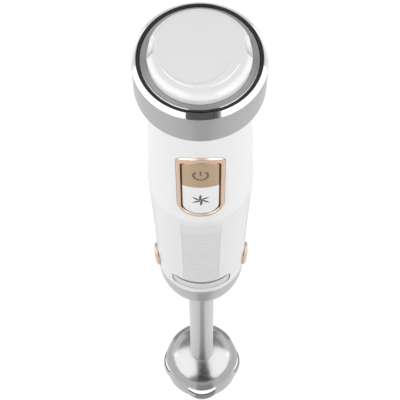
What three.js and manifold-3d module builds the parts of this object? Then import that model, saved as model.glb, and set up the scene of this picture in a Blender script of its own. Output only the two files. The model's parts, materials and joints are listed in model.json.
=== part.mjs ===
// Immersion blender: a white motor handle with a steel collar and a speed dial on top,
// a panel of two front buttons, two side release buttons, and a detachable steel
// blending shaft that ends in a bell-shaped blade guard.
//
// Millimetres, +Z up. The origin is the centre of the guard's rim, on the surface that
// the blender stands on. The button panel faces -Y.

import * as THREE from 'three';
import { mergeVertices } from 'three/addons/utils/BufferGeometryUtils.js';
import Module from 'manifold-3d';

const wasm = await Module();
wasm.setup();

// ---------------------------------------------------------------- driving dimensions

const GAP = 0.3; // space left between pieces that touch
const WALL = 2.4; // moulded housing wall
const SHEET = 1.3; // steel of the guard and the ferrule
const ROUND = 28; // sides of a large turned piece
const SMALL_ROUND = 16; // sides of a small turned piece
const GUARD_ROUND = 40; // sides of the guard, whose wall is not round
const CURVE_SEGMENTS = 8; // steps of a rounded corner in an extruded shape
const CUTTER_REACH = 40; // how far a cutter goes, beyond every outer surface

// handle, from the floor up
const HANDLE_BOTTOM = 198;
const CREASE_Z = 301.7;
const NECK_Z = 398.8;
const COLLAR_BOTTOM = 399.1;
const COLLAR_TOP = 420;
const DIAL_TOP = 428.2;

const BOTTOM_RADIUS = 25.95;
const CREASE_RADIUS = 28.6;
const NECK_RADIUS = 24.3;
const COLLAR_RADIUS = 32.25;

// collar chamfer and the rings inside it
const CHAMFER_WIDTH = 2.27;
const CHAMFER_RISE = 2.2;
const TRIM_INNER = 28.7;
const TRIM_OUTER = 29.65;
const KNOB_RADIUS = 24.9;
const KNOB_ROUNDING = 2.6;
const DECK_Z = 417;
const DECK_THICKNESS = 2.4;

// button panel on the front of the upper housing
const PANEL_TOP = 370.3;
const PANEL_BOTTOM = 310.1;
const PANEL_HALF_WIDTH = 12.4;
const BEZEL_SIDE = 2.2;
const BEZEL_TOP_BAND = 3.6;
const BEZEL_BOTTOM_BAND = 2.8;
const BUTTON_SPLIT_Z = 341.4;
const BUTTON_CLEARANCE = 0.4;

// side release buttons, each on its own radial line
const RELEASE_ANGLE = THREE.MathUtils.degToRad(80); // from the front, each way
const RELEASE_Z = 208;
const RELEASE_WIDTH = 11;
const RELEASE_HEIGHT = 17;
const RELEASE_OUTER = 28;
const LATCH_TIP_RADIUS = 17.2;

// blending shaft
const FERRULE_RADIUS = 25.6;
const FERRULE_BOTTOM = 165.7;
const FERRULE_CURVE = 2.6;
const TUBE_RADIUS = 7.9;
const TUBE_BORE = 6.8;
const NECK_PLUG_RADIUS = 14;
const SOCKET_TOP = 234;

// blade guard
const GUARD_TOP = 30.4;
const GUARD_SHOULDER_Z = 14;
const GUARD_RADIUS = 25.3;
const GUARD_CURVE = 2.75;
const RIM_FLARE = 0.9;
const CORNER_FLARE = 1.3;
const FLARE_HEIGHT = 8;
const HUB_BORE = 3;
const SLOT_WIDTH = 20;
const SLOT_BOTTOM = 7.5;
const SLOT_TOP = 13.5;

// motor
const MOTOR_RADIUS = 21.5;
const STACK_BOTTOM = 262;
const STACK_TOP = 292;
const ARMATURE_RADIUS = 11.9;
const ROTOR_SHAFT_RADIUS = 2.5;
const BRUSH_Z = 305.5;
const SCREW_OFFSET = 19.3;
const COUPLER_BOTTOM = 222;
const COUPLER_TOP = 235;
const HEX_RADIUS = 4.4; // across the corners of the hexagonal drive

// ---------------------------------------------------------------- materials

function material(color, roughness, metalness) {
  return new THREE.MeshStandardMaterial({ color, roughness, metalness });
}

const whitePlastic = material(0xe8e8ea, 0.3, 0);
const gripPlastic = material(0xdcdcde, 0.45, 0);
const brushedSteel = material(0xb4b4b6, 0.35, 1);
const polishedSteel = material(0xc6c6c8, 0.15, 1);
const roseGold = material(0xc6a083, 0.35, 0.8);
const blackPlastic = material(0x2c2c2e, 0.4, 0);
const smokedPlastic = material(0x4c4c50, 0.15, 0);
const greyMetal = material(0x98989a, 0.4, 0.8);
const insulator = material(0x3a3d42, 0.6, 0);
const boardGreen = material(0x2f5d3a, 0.6, 0);
const electricalSteel = material(0x8b8d92, 0.5, 0.7);
const copper = material(0xb5703c, 0.35, 0.9);
const carbon = material(0x2a2a2a, 0.8, 0.1);
const rubber = material(0x232325, 0.85, 0);
const bronze = material(0xa88450, 0.45, 0.8);

// ---------------------------------------------------------------- solids

// A closed three.js geometry as a solid that can be joined and cut.
function toSolid(geometry) {
  geometry.deleteAttribute('normal');
  geometry.deleteAttribute('uv');
  const merged = mergeVertices(geometry, 1e-4);
  const index = merged.index.array;
  const triangles = [];
  for (let i = 0; i < index.length; i += 3) {
    const corners = [index[i], index[i + 1], index[i + 2]];
    if (new Set(corners).size === 3) triangles.push(...corners);
  }
  return new wasm.Manifold(new wasm.Mesh({
    numProp: 3,
    vertProperties: Float32Array.from(merged.attributes.position.array),
    triVerts: Uint32Array.from(triangles),
  }));
}

// A solid as a three.js geometry.
function toGeometry(solid) {
  const { vertProperties, triVerts } = solid.getMesh();
  const geometry = new THREE.BufferGeometry();
  geometry.setAttribute('position', new THREE.BufferAttribute(vertProperties, 3));
  geometry.setIndex(new THREE.BufferAttribute(triVerts, 1));
  geometry.computeVertexNormals();
  return geometry;
}

// Positive when the outline runs counter-clockwise.
function signedArea(outline) {
  let twiceArea = 0;
  outline.forEach(([x, y], i) => {
    const [nextX, nextY] = outline[(i + 1) % outline.length];
    twiceArea += x * nextY - nextX * y;
  });
  return twiceArea / 2;
}

// A [radius, z] outline turned about the Z axis. One that is clear of the axis closes on itself.
function turnedGeometry(outline, sides) {
  const ordered = signedArea(outline) > 0 ? [...outline] : [...outline].reverse();
  const onAxis = ordered.findIndex(([r]) => r === 0);
  if (onAxis < 0) {
    ordered.push(ordered[0]);
  } else {
    // start on the axis, so that the outline leaves it and comes back to it
    while (!(ordered[0][0] === 0 && ordered.at(-1)[0] === 0)) ordered.push(ordered.shift());
  }
  const points = ordered.map(([r, z]) => new THREE.Vector2(r, z));
  const geometry = new THREE.LatheGeometry(points, sides);
  geometry.rotateX(Math.PI / 2);
  return geometry;
}

function turned(outline, sides = ROUND) {
  return toSolid(turnedGeometry(outline, sides));
}

function ring(innerRadius, outerRadius, bottom, top, sides = ROUND) {
  return turned(
    [[innerRadius, bottom], [outerRadius, bottom], [outerRadius, top], [innerRadius, top]],
    sides,
  );
}

function disc(radius, bottom, top, sides = ROUND) {
  return turned([[0, bottom], [radius, bottom], [radius, top], [0, top]], sides);
}

// A box between two corners.
function box([x0, y0, z0], [x1, y1, z1]) {
  const geometry = new THREE.BoxGeometry(x1 - x0, y1 - y0, z1 - z0);
  geometry.translate((x0 + x1) / 2, (y0 + y1) / 2, (z0 + z1) / 2);
  return toSolid(geometry);
}

// A flat shape extruded from one height to another.
function extruded(shape, bottom, top) {
  const options = { depth: top - bottom, bevelEnabled: false, curveSegments: CURVE_SEGMENTS };
  const geometry = new THREE.ExtrudeGeometry(shape, options);
  geometry.translate(0, 0, bottom);
  return geometry;
}

// A flat shape in plan, raised from bottom to top.
function raised(shape, bottom, top) {
  return toSolid(extruded(shape, bottom, top));
}

// A shape drawn in X and Z, pushed from y = -near to y = -far.
function pushedForward(shape, near, far) {
  const geometry = extruded(shape, near, far);
  geometry.rotateX(Math.PI / 2);
  return toSolid(geometry);
}

function turnedAboutZ(solid, radians) {
  return solid.rotate([0, 0, THREE.MathUtils.radToDeg(radians)]);
}

// A closed shape through [x, y] points.
function outlineShape(points) {
  return new THREE.Shape(points.map(([x, y]) => new THREE.Vector2(x, y)));
}

function hexagon(cornerRadius) {
  const points = [];
  for (let i = 0; i < 6; i += 1) {
    const angle = (i * Math.PI) / 3;
    points.push([cornerRadius * Math.cos(angle), cornerRadius * Math.sin(angle)]);
  }
  return outlineShape(points);
}

// Two signed distances on one side of the axis, the lower one first.
function span(side, near, far) {
  return side > 0 ? [near, far] : [-far, -near];
}

// Evenly spaced values from start to end, both included.
function steps(start, end, count) {
  return Array.from({ length: count + 1 }, (_, i) => start + ((end - start) * i) / count);
}

// ---------------------------------------------------------------- shared shapes

// Outer radius of the white handle at a height.
function handleRadius(z) {
  if (z >= CREASE_Z) {
    const up = (z - CREASE_Z) / (NECK_Z - CREASE_Z);
    const down = 1 - up;
    return NECK_RADIUS + (CREASE_RADIUS - NECK_RADIUS) * down * (1.25 - 0.25 * down);
  }
  const down = (CREASE_Z - z) / (CREASE_Z - HANDLE_BOTTOM);
  return BOTTOM_RADIUS + (CREASE_RADIUS - BOTTOM_RADIUS) * (1 - down) ** 1.7;
}

// Outline points that follow the handle's surface at an offset from it.
function handleLine(offset, fromZ, toZ, count) {
  return steps(fromZ, toZ, count).map((z) => [handleRadius(z) + offset, z]);
}

// A layer that follows the handle's surface between two offsets.
function handleSkin(innerOffset, outerOffset, bottom, top, count = 4) {
  return turned([
    ...handleLine(outerOffset, bottom, top, count),
    ...handleLine(innerOffset, top, bottom, count),
  ]);
}

// The button panel's outline: small corners at the top, large ones at the bottom.
function panelShape(halfWidth, bottom, top, topCorner, bottomCorner) {
  const shape = new THREE.Shape();
  shape.moveTo(-halfWidth + bottomCorner, bottom);
  shape.lineTo(halfWidth - bottomCorner, bottom);
  shape.absarc(halfWidth - bottomCorner, bottom + bottomCorner, bottomCorner, -Math.PI / 2, 0);
  shape.lineTo(halfWidth, top - topCorner);
  shape.absarc(halfWidth - topCorner, top - topCorner, topCorner, 0, Math.PI / 2);
  shape.lineTo(-halfWidth + topCorner, top);
  shape.absarc(-halfWidth + topCorner, top - topCorner, topCorner, Math.PI / 2, Math.PI);
  shape.lineTo(-halfWidth, bottom + bottomCorner);
  shape.absarc(-halfWidth + bottomCorner, bottom + bottomCorner, bottomCorner, Math.PI, Math.PI * 1.5);
  return shape;
}

const PANEL_TOP_CORNER = 3;
const PANEL_BOTTOM_CORNER = 10;

function panelCut(margin) {
  const shape = panelShape(
    PANEL_HALF_WIDTH + margin,
    PANEL_BOTTOM - margin,
    PANEL_TOP + margin,
    PANEL_TOP_CORNER + margin,
    PANEL_BOTTOM_CORNER + margin,
  );
  return pushedForward(shape, 0, CUTTER_REACH);
}

const WELL = {
  halfWidth: PANEL_HALF_WIDTH - BEZEL_SIDE,
  bottom: PANEL_BOTTOM + BEZEL_BOTTOM_BAND,
  top: PANEL_TOP - BEZEL_TOP_BAND,
  topCorner: 1.2,
  bottomCorner: 8,
};

// The well inside the bezel, smaller all round by an inset.
function wellCut(inset) {
  const shape = panelShape(
    WELL.halfWidth - inset,
    WELL.bottom + inset,
    WELL.top - inset,
    WELL.topCorner,
    WELL.bottomCorner - inset,
  );
  return pushedForward(shape, 0, CUTTER_REACH);
}

// An upright oval prism that points out of the handle along a side release button's line.
function releasePrism(margin, innerRadius, outerRadius, side) {
  const radius = RELEASE_WIDTH / 2 + margin;
  const rise = (RELEASE_HEIGHT - RELEASE_WIDTH) / 2;
  const shape = new THREE.Shape();
  shape.absarc(0, RELEASE_Z + rise, radius, 0, Math.PI);
  shape.absarc(0, RELEASE_Z - rise, radius, Math.PI, Math.PI * 2);
  return turnedAboutZ(pushedForward(shape, innerRadius, outerRadius), side * RELEASE_ANGLE);
}

// ---------------------------------------------------------------- scene graph

const blender = new THREE.Group();
const groups = {};

function addGroup(name, parent) {
  groups[name] = new THREE.Group();
  groups[name].name = `${name}_group`;
  parent.add(groups[name]);
  return groups[name];
}

const motorUnit = addGroup('motor_unit', blender);
const rotor = addGroup('rotor', motorUnit);
const speedDial = addGroup('speed_dial', motorUnit);
const blendingShaft = addGroup('blending_shaft', motorUnit);
const bladeDrive = addGroup('blade_drive', blendingShaft);

function addPiece(group, name, solid, look) {
  const mesh = new THREE.Mesh(toGeometry(solid), look);
  mesh.name = name;
  group.add(mesh);
}

// ---------------------------------------------------------------- housings

const BADGE_HALF_WIDTH = 17;
const BADGE_BOTTOM = 201.8;
const BADGE_TOP = 213.4;
const BADGE_DEPTH = 1.2;

function makeUpperHousing() {
  const bottom = CREASE_Z + GAP / 2;
  const cupRadius = COLLAR_RADIUS - 2.35;
  const cupTop = DECK_Z - GAP;
  const shell = turned([
    ...handleLine(0, bottom, NECK_Z, 4),
    [cupRadius, NECK_Z + 1],
    [cupRadius, cupTop],
    [cupRadius - WALL, cupTop],
    [cupRadius - WALL, NECK_Z + 3.4],
    ...handleLine(-WALL, NECK_Z, bottom, 4),
  ]);
  return shell.subtract(panelCut(GAP)).subtract(glandBody(0, CUTTER_REACH, GAP));
}

function badgeLayer(innerOffset, outerOffset, inset) {
  const layer = handleSkin(innerOffset, outerOffset, BADGE_BOTTOM + inset, BADGE_TOP - inset, 2);
  const halfWidth = BADGE_HALF_WIDTH - inset;
  return layer.intersect(
    box([-halfWidth, -CUTTER_REACH, BADGE_BOTTOM - 1], [halfWidth, 0, BADGE_TOP + 1]),
  );
}

function makeLowerHousing() {
  let shell = turned([
    ...handleLine(0, HANDLE_BOTTOM, CREASE_Z - GAP / 2, 5),
    ...handleLine(-WALL, CREASE_Z - GAP / 2, HANDLE_BOTTOM, 5),
  ]);
  shell = shell.subtract(badgeLayer(-BADGE_DEPTH, BADGE_DEPTH, 0));
  for (const side of [-1, 1]) {
    shell = shell.subtract(releasePrism(GAP, LATCH_TIP_RADIUS, CUTTER_REACH, side));
  }
  return shell;
}

// The cord gland on the rear: a grommet with a flange outside and a bore for the cord.
const GLAND_Z = 386.5;
const GLAND_RADIUS = 6;
const GLAND_FLANGE = 8;
const GLAND_BORE = 3.8;
const GLAND_INSIDE = 20.5; // where the barrel ends inside the housing
const GLAND_LIP = 3; // how far the flange's face stands off the housing
const GLAND_LIP_THICKNESS = 2.4;

function rearCylinder(radius, near, far, sides = SMALL_ROUND) {
  const geometry = turnedGeometry([[0, near], [radius, near], [radius, far], [0, far]], sides);
  geometry.rotateX(-Math.PI / 2);
  geometry.translate(0, 0, GLAND_Z);
  return toSolid(geometry);
}

function glandBody(near, far, margin) {
  return rearCylinder(GLAND_RADIUS + margin, near, far);
}

function makeCordGland() {
  const face = handleRadius(GLAND_Z) + GAP + GLAND_LIP;
  const barrel = glandBody(GLAND_INSIDE, face, 0);
  const flange = rearCylinder(GLAND_FLANGE, face - GLAND_LIP_THICKNESS, face);
  return barrel.add(flange).subtract(rearCylinder(GLAND_BORE, GLAND_INSIDE - 1, CUTTER_REACH));
}

addPiece(motorUnit, 'upper_housing', makeUpperHousing(), whitePlastic);
addPiece(motorUnit, 'lower_housing', makeLowerHousing(), gripPlastic);
addPiece(motorUnit, 'badge_plate', badgeLayer(GAP - BADGE_DEPTH, -0.2, GAP), whitePlastic);
addPiece(motorUnit, 'cord_gland', makeCordGland(), blackPlastic);

// ---------------------------------------------------------------- collar and its rings

const CHAMFER_TOP = COLLAR_TOP + CHAMFER_RISE;
const CHAMFER_INNER = COLLAR_RADIUS - CHAMFER_WIDTH;
const CHAMFER_BORE = CHAMFER_INNER - 0.03;
const COLLAR_TAPER = 0.25; // the collar is this much narrower at its foot
const COLLAR_WALL = 2.05;
const WINDOW_HALF_WIDTH = 7.8;

function makeCollar() {
  const boreRadius = COLLAR_RADIUS - COLLAR_WALL;
  const seatZ = DECK_Z + DECK_THICKNESS;
  const collar = turned([
    [COLLAR_RADIUS - COLLAR_TAPER, COLLAR_BOTTOM],
    [COLLAR_RADIUS, COLLAR_TOP],
    [CHAMFER_INNER, CHAMFER_TOP],
    [CHAMFER_BORE, seatZ],
    [boreRadius, seatZ - 0.5],
    [boreRadius, COLLAR_BOTTOM],
  ]);
  const cut = box(
    [-WINDOW_HALF_WIDTH - GAP, -CUTTER_REACH, COLLAR_TOP - GAP],
    [WINDOW_HALF_WIDTH + GAP, -CHAMFER_INNER + 1.3, CHAMFER_TOP + 1],
  );
  return collar.subtract(cut);
}

// The window fills the notch that is cut in the chamfer.
function makeIndicatorWindow() {
  const block = turned([
    [COLLAR_RADIUS, COLLAR_TOP],
    [CHAMFER_INNER, CHAMFER_TOP],
    [CHAMFER_BORE, COLLAR_TOP],
  ]);
  return block.intersect(box(
    [-WINDOW_HALF_WIDTH, -CUTTER_REACH, COLLAR_BOTTOM],
    [WINDOW_HALF_WIDTH, 0, DIAL_TOP],
  ));
}

const DIAL_SHAFT_RADIUS = 3;
const SCREW_RADIUS = 1.5;
const SCREW_HOLE = SCREW_RADIUS + GAP;

function makeDialDeck() {
  let deck = disc(TRIM_OUTER, DECK_Z, DECK_Z + DECK_THICKNESS);
  deck = deck.subtract(disc(DIAL_SHAFT_RADIUS + 2 * GAP, DECK_Z - 1, CHAMFER_TOP, SMALL_ROUND));
  const screwHole = disc(SCREW_HOLE, DECK_Z - 1, CHAMFER_TOP, SMALL_ROUND);
  for (const x of [-SCREW_OFFSET, SCREW_OFFSET]) {
    deck = deck.subtract(screwHole.translate([x, 0, 0]));
  }
  return deck;
}

const SEAT_Z = DECK_Z + DECK_THICKNESS + GAP;

addPiece(motorUnit, 'top_collar', makeCollar(), brushedSteel);
addPiece(motorUnit, 'indicator_window', makeIndicatorWindow(), smokedPlastic);
addPiece(motorUnit, 'trim_ring', ring(TRIM_INNER, TRIM_OUTER, SEAT_Z, CHAMFER_TOP), blackPlastic);
addPiece(motorUnit, 'dial_deck', makeDialDeck(), blackPlastic);

// ---------------------------------------------------------------- speed dial

const SKIRT_RADIUS = TRIM_INNER - GAP;
const SKIRT_TOP = CHAMFER_TOP - 0.2;
const SKIRT_PLATE_TOP = SEAT_Z + 1.1;

const KNOB_CROWN = 0.4; // rise of the top from its rounded edge to its middle

// finger scoops: balls that bite into the knob's left and right edges
const SCOOP_RADIUS = 11;
const SCOOP_BITE = 3.2;
const SCOOP_Y = 3;
const SCOOP_LIFT = 2;

// A knob with a rounded edge and two finger scoops in its sides.
function makeKnob() {
  const bottom = SKIRT_PLATE_TOP + GAP;
  const arc = steps(0, Math.PI / 2, 4).map((angle) => [
    KNOB_RADIUS - KNOB_ROUNDING + KNOB_ROUNDING * Math.cos(angle),
    DIAL_TOP - KNOB_CROWN - KNOB_ROUNDING + KNOB_ROUNDING * Math.sin(angle),
  ]);
  let knob = turned([[0, bottom], [KNOB_RADIUS, bottom], ...arc, [0, DIAL_TOP]]);
  for (const side of [-1, 1]) {
    const scoop = new THREE.SphereGeometry(SCOOP_RADIUS, 16, 10);
    const scoopX = side * (KNOB_RADIUS + SCOOP_RADIUS - SCOOP_BITE);
    scoop.translate(scoopX, SCOOP_Y, DIAL_TOP + SCOOP_LIFT);
    knob = knob.subtract(toSolid(scoop));
  }
  return knob;
}

function makeDialSkirt() {
  const bore = DIAL_SHAFT_RADIUS + 0.8;
  return turned([
    [bore, SEAT_Z + GAP],
    [SKIRT_RADIUS, SEAT_Z + GAP],
    [SKIRT_RADIUS, SKIRT_TOP],
    [KNOB_RADIUS + GAP, SKIRT_TOP],
    [KNOB_RADIUS + GAP, SKIRT_PLATE_TOP],
    [bore, SKIRT_PLATE_TOP],
  ]);
}

const BOARD_Z = 408;
const BOARD_THICKNESS = 1.6;
const BOARD_RADIUS = 26;

function makeDialShaft() {
  return disc(DIAL_SHAFT_RADIUS, BOARD_Z + 3, SKIRT_PLATE_TOP, SMALL_ROUND);
}

addPiece(speedDial, 'dial_knob', makeKnob(), whitePlastic);
addPiece(speedDial, 'dial_skirt', makeDialSkirt(), greyMetal);
addPiece(speedDial, 'dial_shaft', makeDialShaft(), blackPlastic);

// ---------------------------------------------------------------- electronics

const POT_RADIUS = 8;
const POT_HEIGHT = 4.4;
const SWITCH_BOARD_Y = -18;
const SWITCH_HALF_SIZE = 3;
const SWITCH_CAP_HALF_SIZE = 1.6;
const SWITCH_CAP_HEIGHT = 1;
const BUTTON_TRAVEL = 1.5;
const BUTTON_BACK = 2.4; // depth of a button's back below the handle's surface
const BUTTON_PROUD = 0.5;

function makePotentiometer() {
  const bottom = BOARD_Z + BOARD_THICKNESS + GAP;
  return ring(DIAL_SHAFT_RADIUS + GAP, POT_RADIUS, bottom, bottom + POT_HEIGHT, SMALL_ROUND);
}

// A small switch whose cap stays just clear of its button's back when that is pressed.
function makeSwitch(z) {
  const front = 2 * GAP + BUTTON_TRAVEL + BUTTON_BACK - handleRadius(z + SWITCH_CAP_HALF_SIZE);
  const body = box(
    [-SWITCH_HALF_SIZE, front + SWITCH_CAP_HEIGHT, z - SWITCH_HALF_SIZE],
    [SWITCH_HALF_SIZE, SWITCH_BOARD_Y - GAP, z + SWITCH_HALF_SIZE],
  );
  const cap = box(
    [-SWITCH_CAP_HALF_SIZE, front, z - SWITCH_CAP_HALF_SIZE],
    [SWITCH_CAP_HALF_SIZE, front + SWITCH_CAP_HEIGHT + 0.2, z + SWITCH_CAP_HALF_SIZE],
  );
  return body.add(cap);
}

const POWER_CENTRE_Z = (BUTTON_SPLIT_Z + WELL.top) / 2;
const TURBO_CENTRE_Z = (BUTTON_SPLIT_Z + WELL.bottom) / 2;
const BOARD_HALF_WIDTH = 9;
const switchBoard = box(
  [-BOARD_HALF_WIDTH, SWITCH_BOARD_Y, WELL.bottom + 7],
  [BOARD_HALF_WIDTH, SWITCH_BOARD_Y + BOARD_THICKNESS, WELL.top - 2],
);
const controlBoard = disc(BOARD_RADIUS, BOARD_Z, BOARD_Z + BOARD_THICKNESS);

addPiece(motorUnit, 'control_board', controlBoard, boardGreen);
addPiece(motorUnit, 'speed_potentiometer', makePotentiometer(), insulator);
addPiece(motorUnit, 'switch_board', switchBoard, boardGreen);
addPiece(motorUnit, 'power_switch', makeSwitch(POWER_CENTRE_Z), insulator);
addPiece(motorUnit, 'turbo_switch', makeSwitch(TURBO_CENTRE_Z), insulator);
addPiece(motorUnit, 'filter_capacitor', box([-9, 8, 330], [9, 15, 352]), bronze);

// ---------------------------------------------------------------- button panel

const BEZEL_BACK = 2.2;
const BEZEL_PROUD = 0.9;

function makeBezel() {
  return handleSkin(-BEZEL_BACK, BEZEL_PROUD, PANEL_BOTTOM - 2, PANEL_TOP + 2)
    .intersect(panelCut(0))
    .subtract(wellCut(0));
}

// One of the two buttons: the part of the well between two heights.
function makeButton(bottom, top) {
  return handleSkin(-BUTTON_BACK, BUTTON_PROUD, PANEL_BOTTOM - 2, PANEL_TOP + 2)
    .intersect(wellCut(BUTTON_CLEARANCE))
    .intersect(box([-PANEL_HALF_WIDTH, -CUTTER_REACH, bottom], [PANEL_HALF_WIDTH, 0, top]));
}

addPiece(motorUnit, 'button_bezel', makeBezel(), roseGold);
addPiece(motorUnit, 'power_button', makeButton(BUTTON_SPLIT_Z + GAP / 2, PANEL_TOP), roseGold);
addPiece(motorUnit, 'turbo_button', makeButton(PANEL_BOTTOM, BUTTON_SPLIT_Z - GAP / 2), whitePlastic);

// ---------------------------------------------------------------- shaft lock

const LATCH_HALF_WIDTH = 3.5;
const LATCH_HALF_HEIGHT = 3;
const RELEASE_CAP_DEPTH = 4.6;
const SOCKET_WALL = 2.4;
const SOCKET_HOLE = 7.4; // radius of the hole that the motor's coupler reaches through

// A radial bar on a release button's line.
function latchBar(margin, innerRadius, outerRadius, side) {
  const halfWidth = LATCH_HALF_WIDTH + margin;
  const halfHeight = LATCH_HALF_HEIGHT + margin;
  const bar = box(
    [-halfWidth, -outerRadius, RELEASE_Z - halfHeight],
    [halfWidth, -innerRadius, RELEASE_Z + halfHeight],
  );
  return turnedAboutZ(bar, side * RELEASE_ANGLE);
}

// A release button: an oval cap on a bar that reaches in towards the shaft's neck.
function makeReleaseButton(side) {
  const cap = releasePrism(0, RELEASE_OUTER - RELEASE_CAP_DEPTH, RELEASE_OUTER, side);
  return cap.add(latchBar(0, LATCH_TIP_RADIUS, RELEASE_OUTER - RELEASE_CAP_DEPTH + 1, side));
}

// The socket in the foot of the handle, which the shaft's neck plugs into. A flange near its
// top carries it in the housing, clear of the release buttons below.
function makeCouplingSocket() {
  const bore = NECK_PLUG_RADIUS + GAP;
  const outside = bore + SOCKET_WALL;
  const flangeBottom = SOCKET_TOP - 5;
  const flangeRadius = handleRadius(flangeBottom) - WALL - GAP;
  let socket = turned([
    [bore, HANDLE_BOTTOM + 0.5],
    [outside, HANDLE_BOTTOM + 0.5],
    [outside, flangeBottom],
    [flangeRadius, flangeBottom],
    [flangeRadius, SOCKET_TOP],
    [SOCKET_HOLE, SOCKET_TOP],
    [SOCKET_HOLE, SOCKET_TOP - SOCKET_WALL],
    [bore, SOCKET_TOP - SOCKET_WALL],
  ]);
  for (const side of [-1, 1]) {
    socket = socket.subtract(latchBar(2 * GAP, bore / 2, CUTTER_REACH, side));
  }
  return socket;
}

addPiece(motorUnit, 'release_button_left', makeReleaseButton(-1), roseGold);
addPiece(motorUnit, 'release_button_right', makeReleaseButton(1), roseGold);
addPiece(motorUnit, 'coupling_socket', makeCouplingSocket(), insulator);

// ---------------------------------------------------------------- motor, fixed side

const SHAFT_HOLE = ROTOR_SHAFT_RADIUS + GAP;
const BEARING_RADIUS = 8;
const LOWER_BEARING_Z = 238;
const UPPER_BEARING_Z = 315;
const BEARING_HEIGHT = 5;
const BEARING_CUP = BEARING_RADIUS + 2;
const BRACKET_THICKNESS = 2.4;
const LEG_INNER = 17.6;
const LEG_OUTER = 21;
const YOKE_INNER = 17.5;
const POLE_HALF_WIDTH = 8.5;
const COIL_HALF_WIDTH = 14.5;
const COIL_OVERHANG = 4.5;

function screwHoles(bottom, top) {
  const hole = disc(SCREW_HOLE, bottom, top, SMALL_ROUND / 2);
  return hole.translate([-SCREW_OFFSET, 0, 0]).add(hole.translate([SCREW_OFFSET, 0, 0]));
}

// Laminated core: a round yoke with a pole at the front and one at the rear.
function makeStatorCore() {
  const yoke = ring(YOKE_INNER, MOTOR_RADIUS, STACK_BOTTOM, STACK_TOP);
  const poles = box(
    [-POLE_HALF_WIDTH, -YOKE_INNER - 0.5, STACK_BOTTOM],
    [POLE_HALF_WIDTH, YOKE_INNER + 0.5, STACK_TOP],
  );
  return yoke
    .add(poles)
    .subtract(disc(ARMATURE_RADIUS + 0.5, STACK_BOTTOM - 1, STACK_TOP + 1))
    .subtract(screwHoles(STACK_BOTTOM - 1, STACK_TOP + 1));
}

// A coil wound round one pole: side is -1 at the front and 1 at the rear.
function makeFieldCoil(side) {
  const bottom = STACK_BOTTOM - COIL_OVERHANG;
  const top = STACK_TOP + COIL_OVERHANG;
  const [near, far] = span(side, 3, YOKE_INNER);
  const block = box([-COIL_HALF_WIDTH, near, bottom], [COIL_HALF_WIDTH, far, top]);
  const pole = box(
    [-POLE_HALF_WIDTH - GAP, -MOTOR_RADIUS, STACK_BOTTOM - GAP],
    [POLE_HALF_WIDTH + GAP, MOTOR_RADIUS, STACK_TOP + GAP],
  );
  return block
    .intersect(disc(YOKE_INNER - GAP, bottom, top))
    .subtract(disc(ARMATURE_RADIUS + 0.8, bottom - 1, top + 1))
    .subtract(pole);
}

function makeLowerBracket() {
  const bore = BEARING_RADIUS + GAP;
  const bottom = LOWER_BEARING_Z;
  const plate = ring(bore, MOTOR_RADIUS, bottom, bottom + BRACKET_THICKNESS);
  let bracket = plate.add(ring(bore, BEARING_CUP, bottom, bottom + BEARING_HEIGHT));
  for (const side of [-1, 1]) {
    const [near, far] = span(side, LEG_INNER, LEG_OUTER);
    bracket = bracket.add(box([near, -4, bottom], [far, 4, STACK_BOTTOM - GAP]));
  }
  return bracket.subtract(screwHoles(bottom - 1, STACK_BOTTOM + 1));
}

// A bridge over the commutator: two legs on the core and a bar with the bearing's cup.
function makeUpperBracket() {
  const cupTop = UPPER_BEARING_Z + BEARING_HEIGHT;
  const bar = box(
    [-LEG_OUTER, -5, UPPER_BEARING_Z],
    [LEG_OUTER, 5, UPPER_BEARING_Z + BRACKET_THICKNESS],
  );
  let bracket = bar.add(disc(BEARING_CUP, UPPER_BEARING_Z, cupTop));
  for (const side of [-1, 1]) {
    const [near, far] = span(side, LEG_INNER, LEG_OUTER);
    bracket = bracket.add(box([near, -5, STACK_TOP + GAP], [far, 5, UPPER_BEARING_Z + 1]));
  }
  return bracket
    .subtract(disc(BEARING_RADIUS + GAP, UPPER_BEARING_Z - 1, cupTop + 1, SMALL_ROUND))
    .subtract(screwHoles(STACK_TOP - 1, cupTop + 1));
}

// carbon brushes and their holders, square in section
const BRUSH_HALF_SIZE = 2.4;
const BRUSH_START = 7.4;
const BRUSH_END = 14;
const HOLDER_START = 8.6;
const HOLDER_END = 18.5;
const HOLDER_HALF_WIDTH = 4.2;
const HOLDER_HALF_HEIGHT = 4.7;

// A brush holder lies along Y, with a channel through it for the carbon brush.
function makeBrushHolder(side) {
  const [near, far] = span(side, HOLDER_START, HOLDER_END);
  const shell = box(
    [-HOLDER_HALF_WIDTH, near, BRUSH_Z - HOLDER_HALF_HEIGHT],
    [HOLDER_HALF_WIDTH, far, BRUSH_Z + HOLDER_HALF_HEIGHT],
  );
  const channel = BRUSH_HALF_SIZE + GAP;
  return shell.subtract(box(
    [-channel, -CUTTER_REACH, BRUSH_Z - channel],
    [channel, CUTTER_REACH, BRUSH_Z + channel],
  ));
}

function makeBrush(side) {
  const [near, far] = span(side, BRUSH_START, BRUSH_END);
  return box(
    [-BRUSH_HALF_SIZE, near, BRUSH_Z - BRUSH_HALF_SIZE],
    [BRUSH_HALF_SIZE, far, BRUSH_Z + BRUSH_HALF_SIZE],
  );
}

// A long screw through both brackets and the core, with its head on top.
function makeMotorScrew(side) {
  const headBottom = UPPER_BEARING_Z + BRACKET_THICKNESS + GAP;
  const shank = disc(SCREW_RADIUS, LOWER_BEARING_Z + 1, headBottom + 1, 12);
  const head = disc(2.8, headBottom, headBottom + 2, 12);
  return shank.add(head).translate([side * SCREW_OFFSET, 0, 0]);
}

function makeBearing(bottom) {
  return ring(SHAFT_HOLE, BEARING_RADIUS, bottom, bottom + BEARING_HEIGHT, SMALL_ROUND);
}

function makeMotorMount(bottom, top) {
  const outer = Math.min(handleRadius(bottom), handleRadius(top)) - WALL - GAP;
  return ring(MOTOR_RADIUS + GAP, outer, bottom, top);
}

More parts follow.
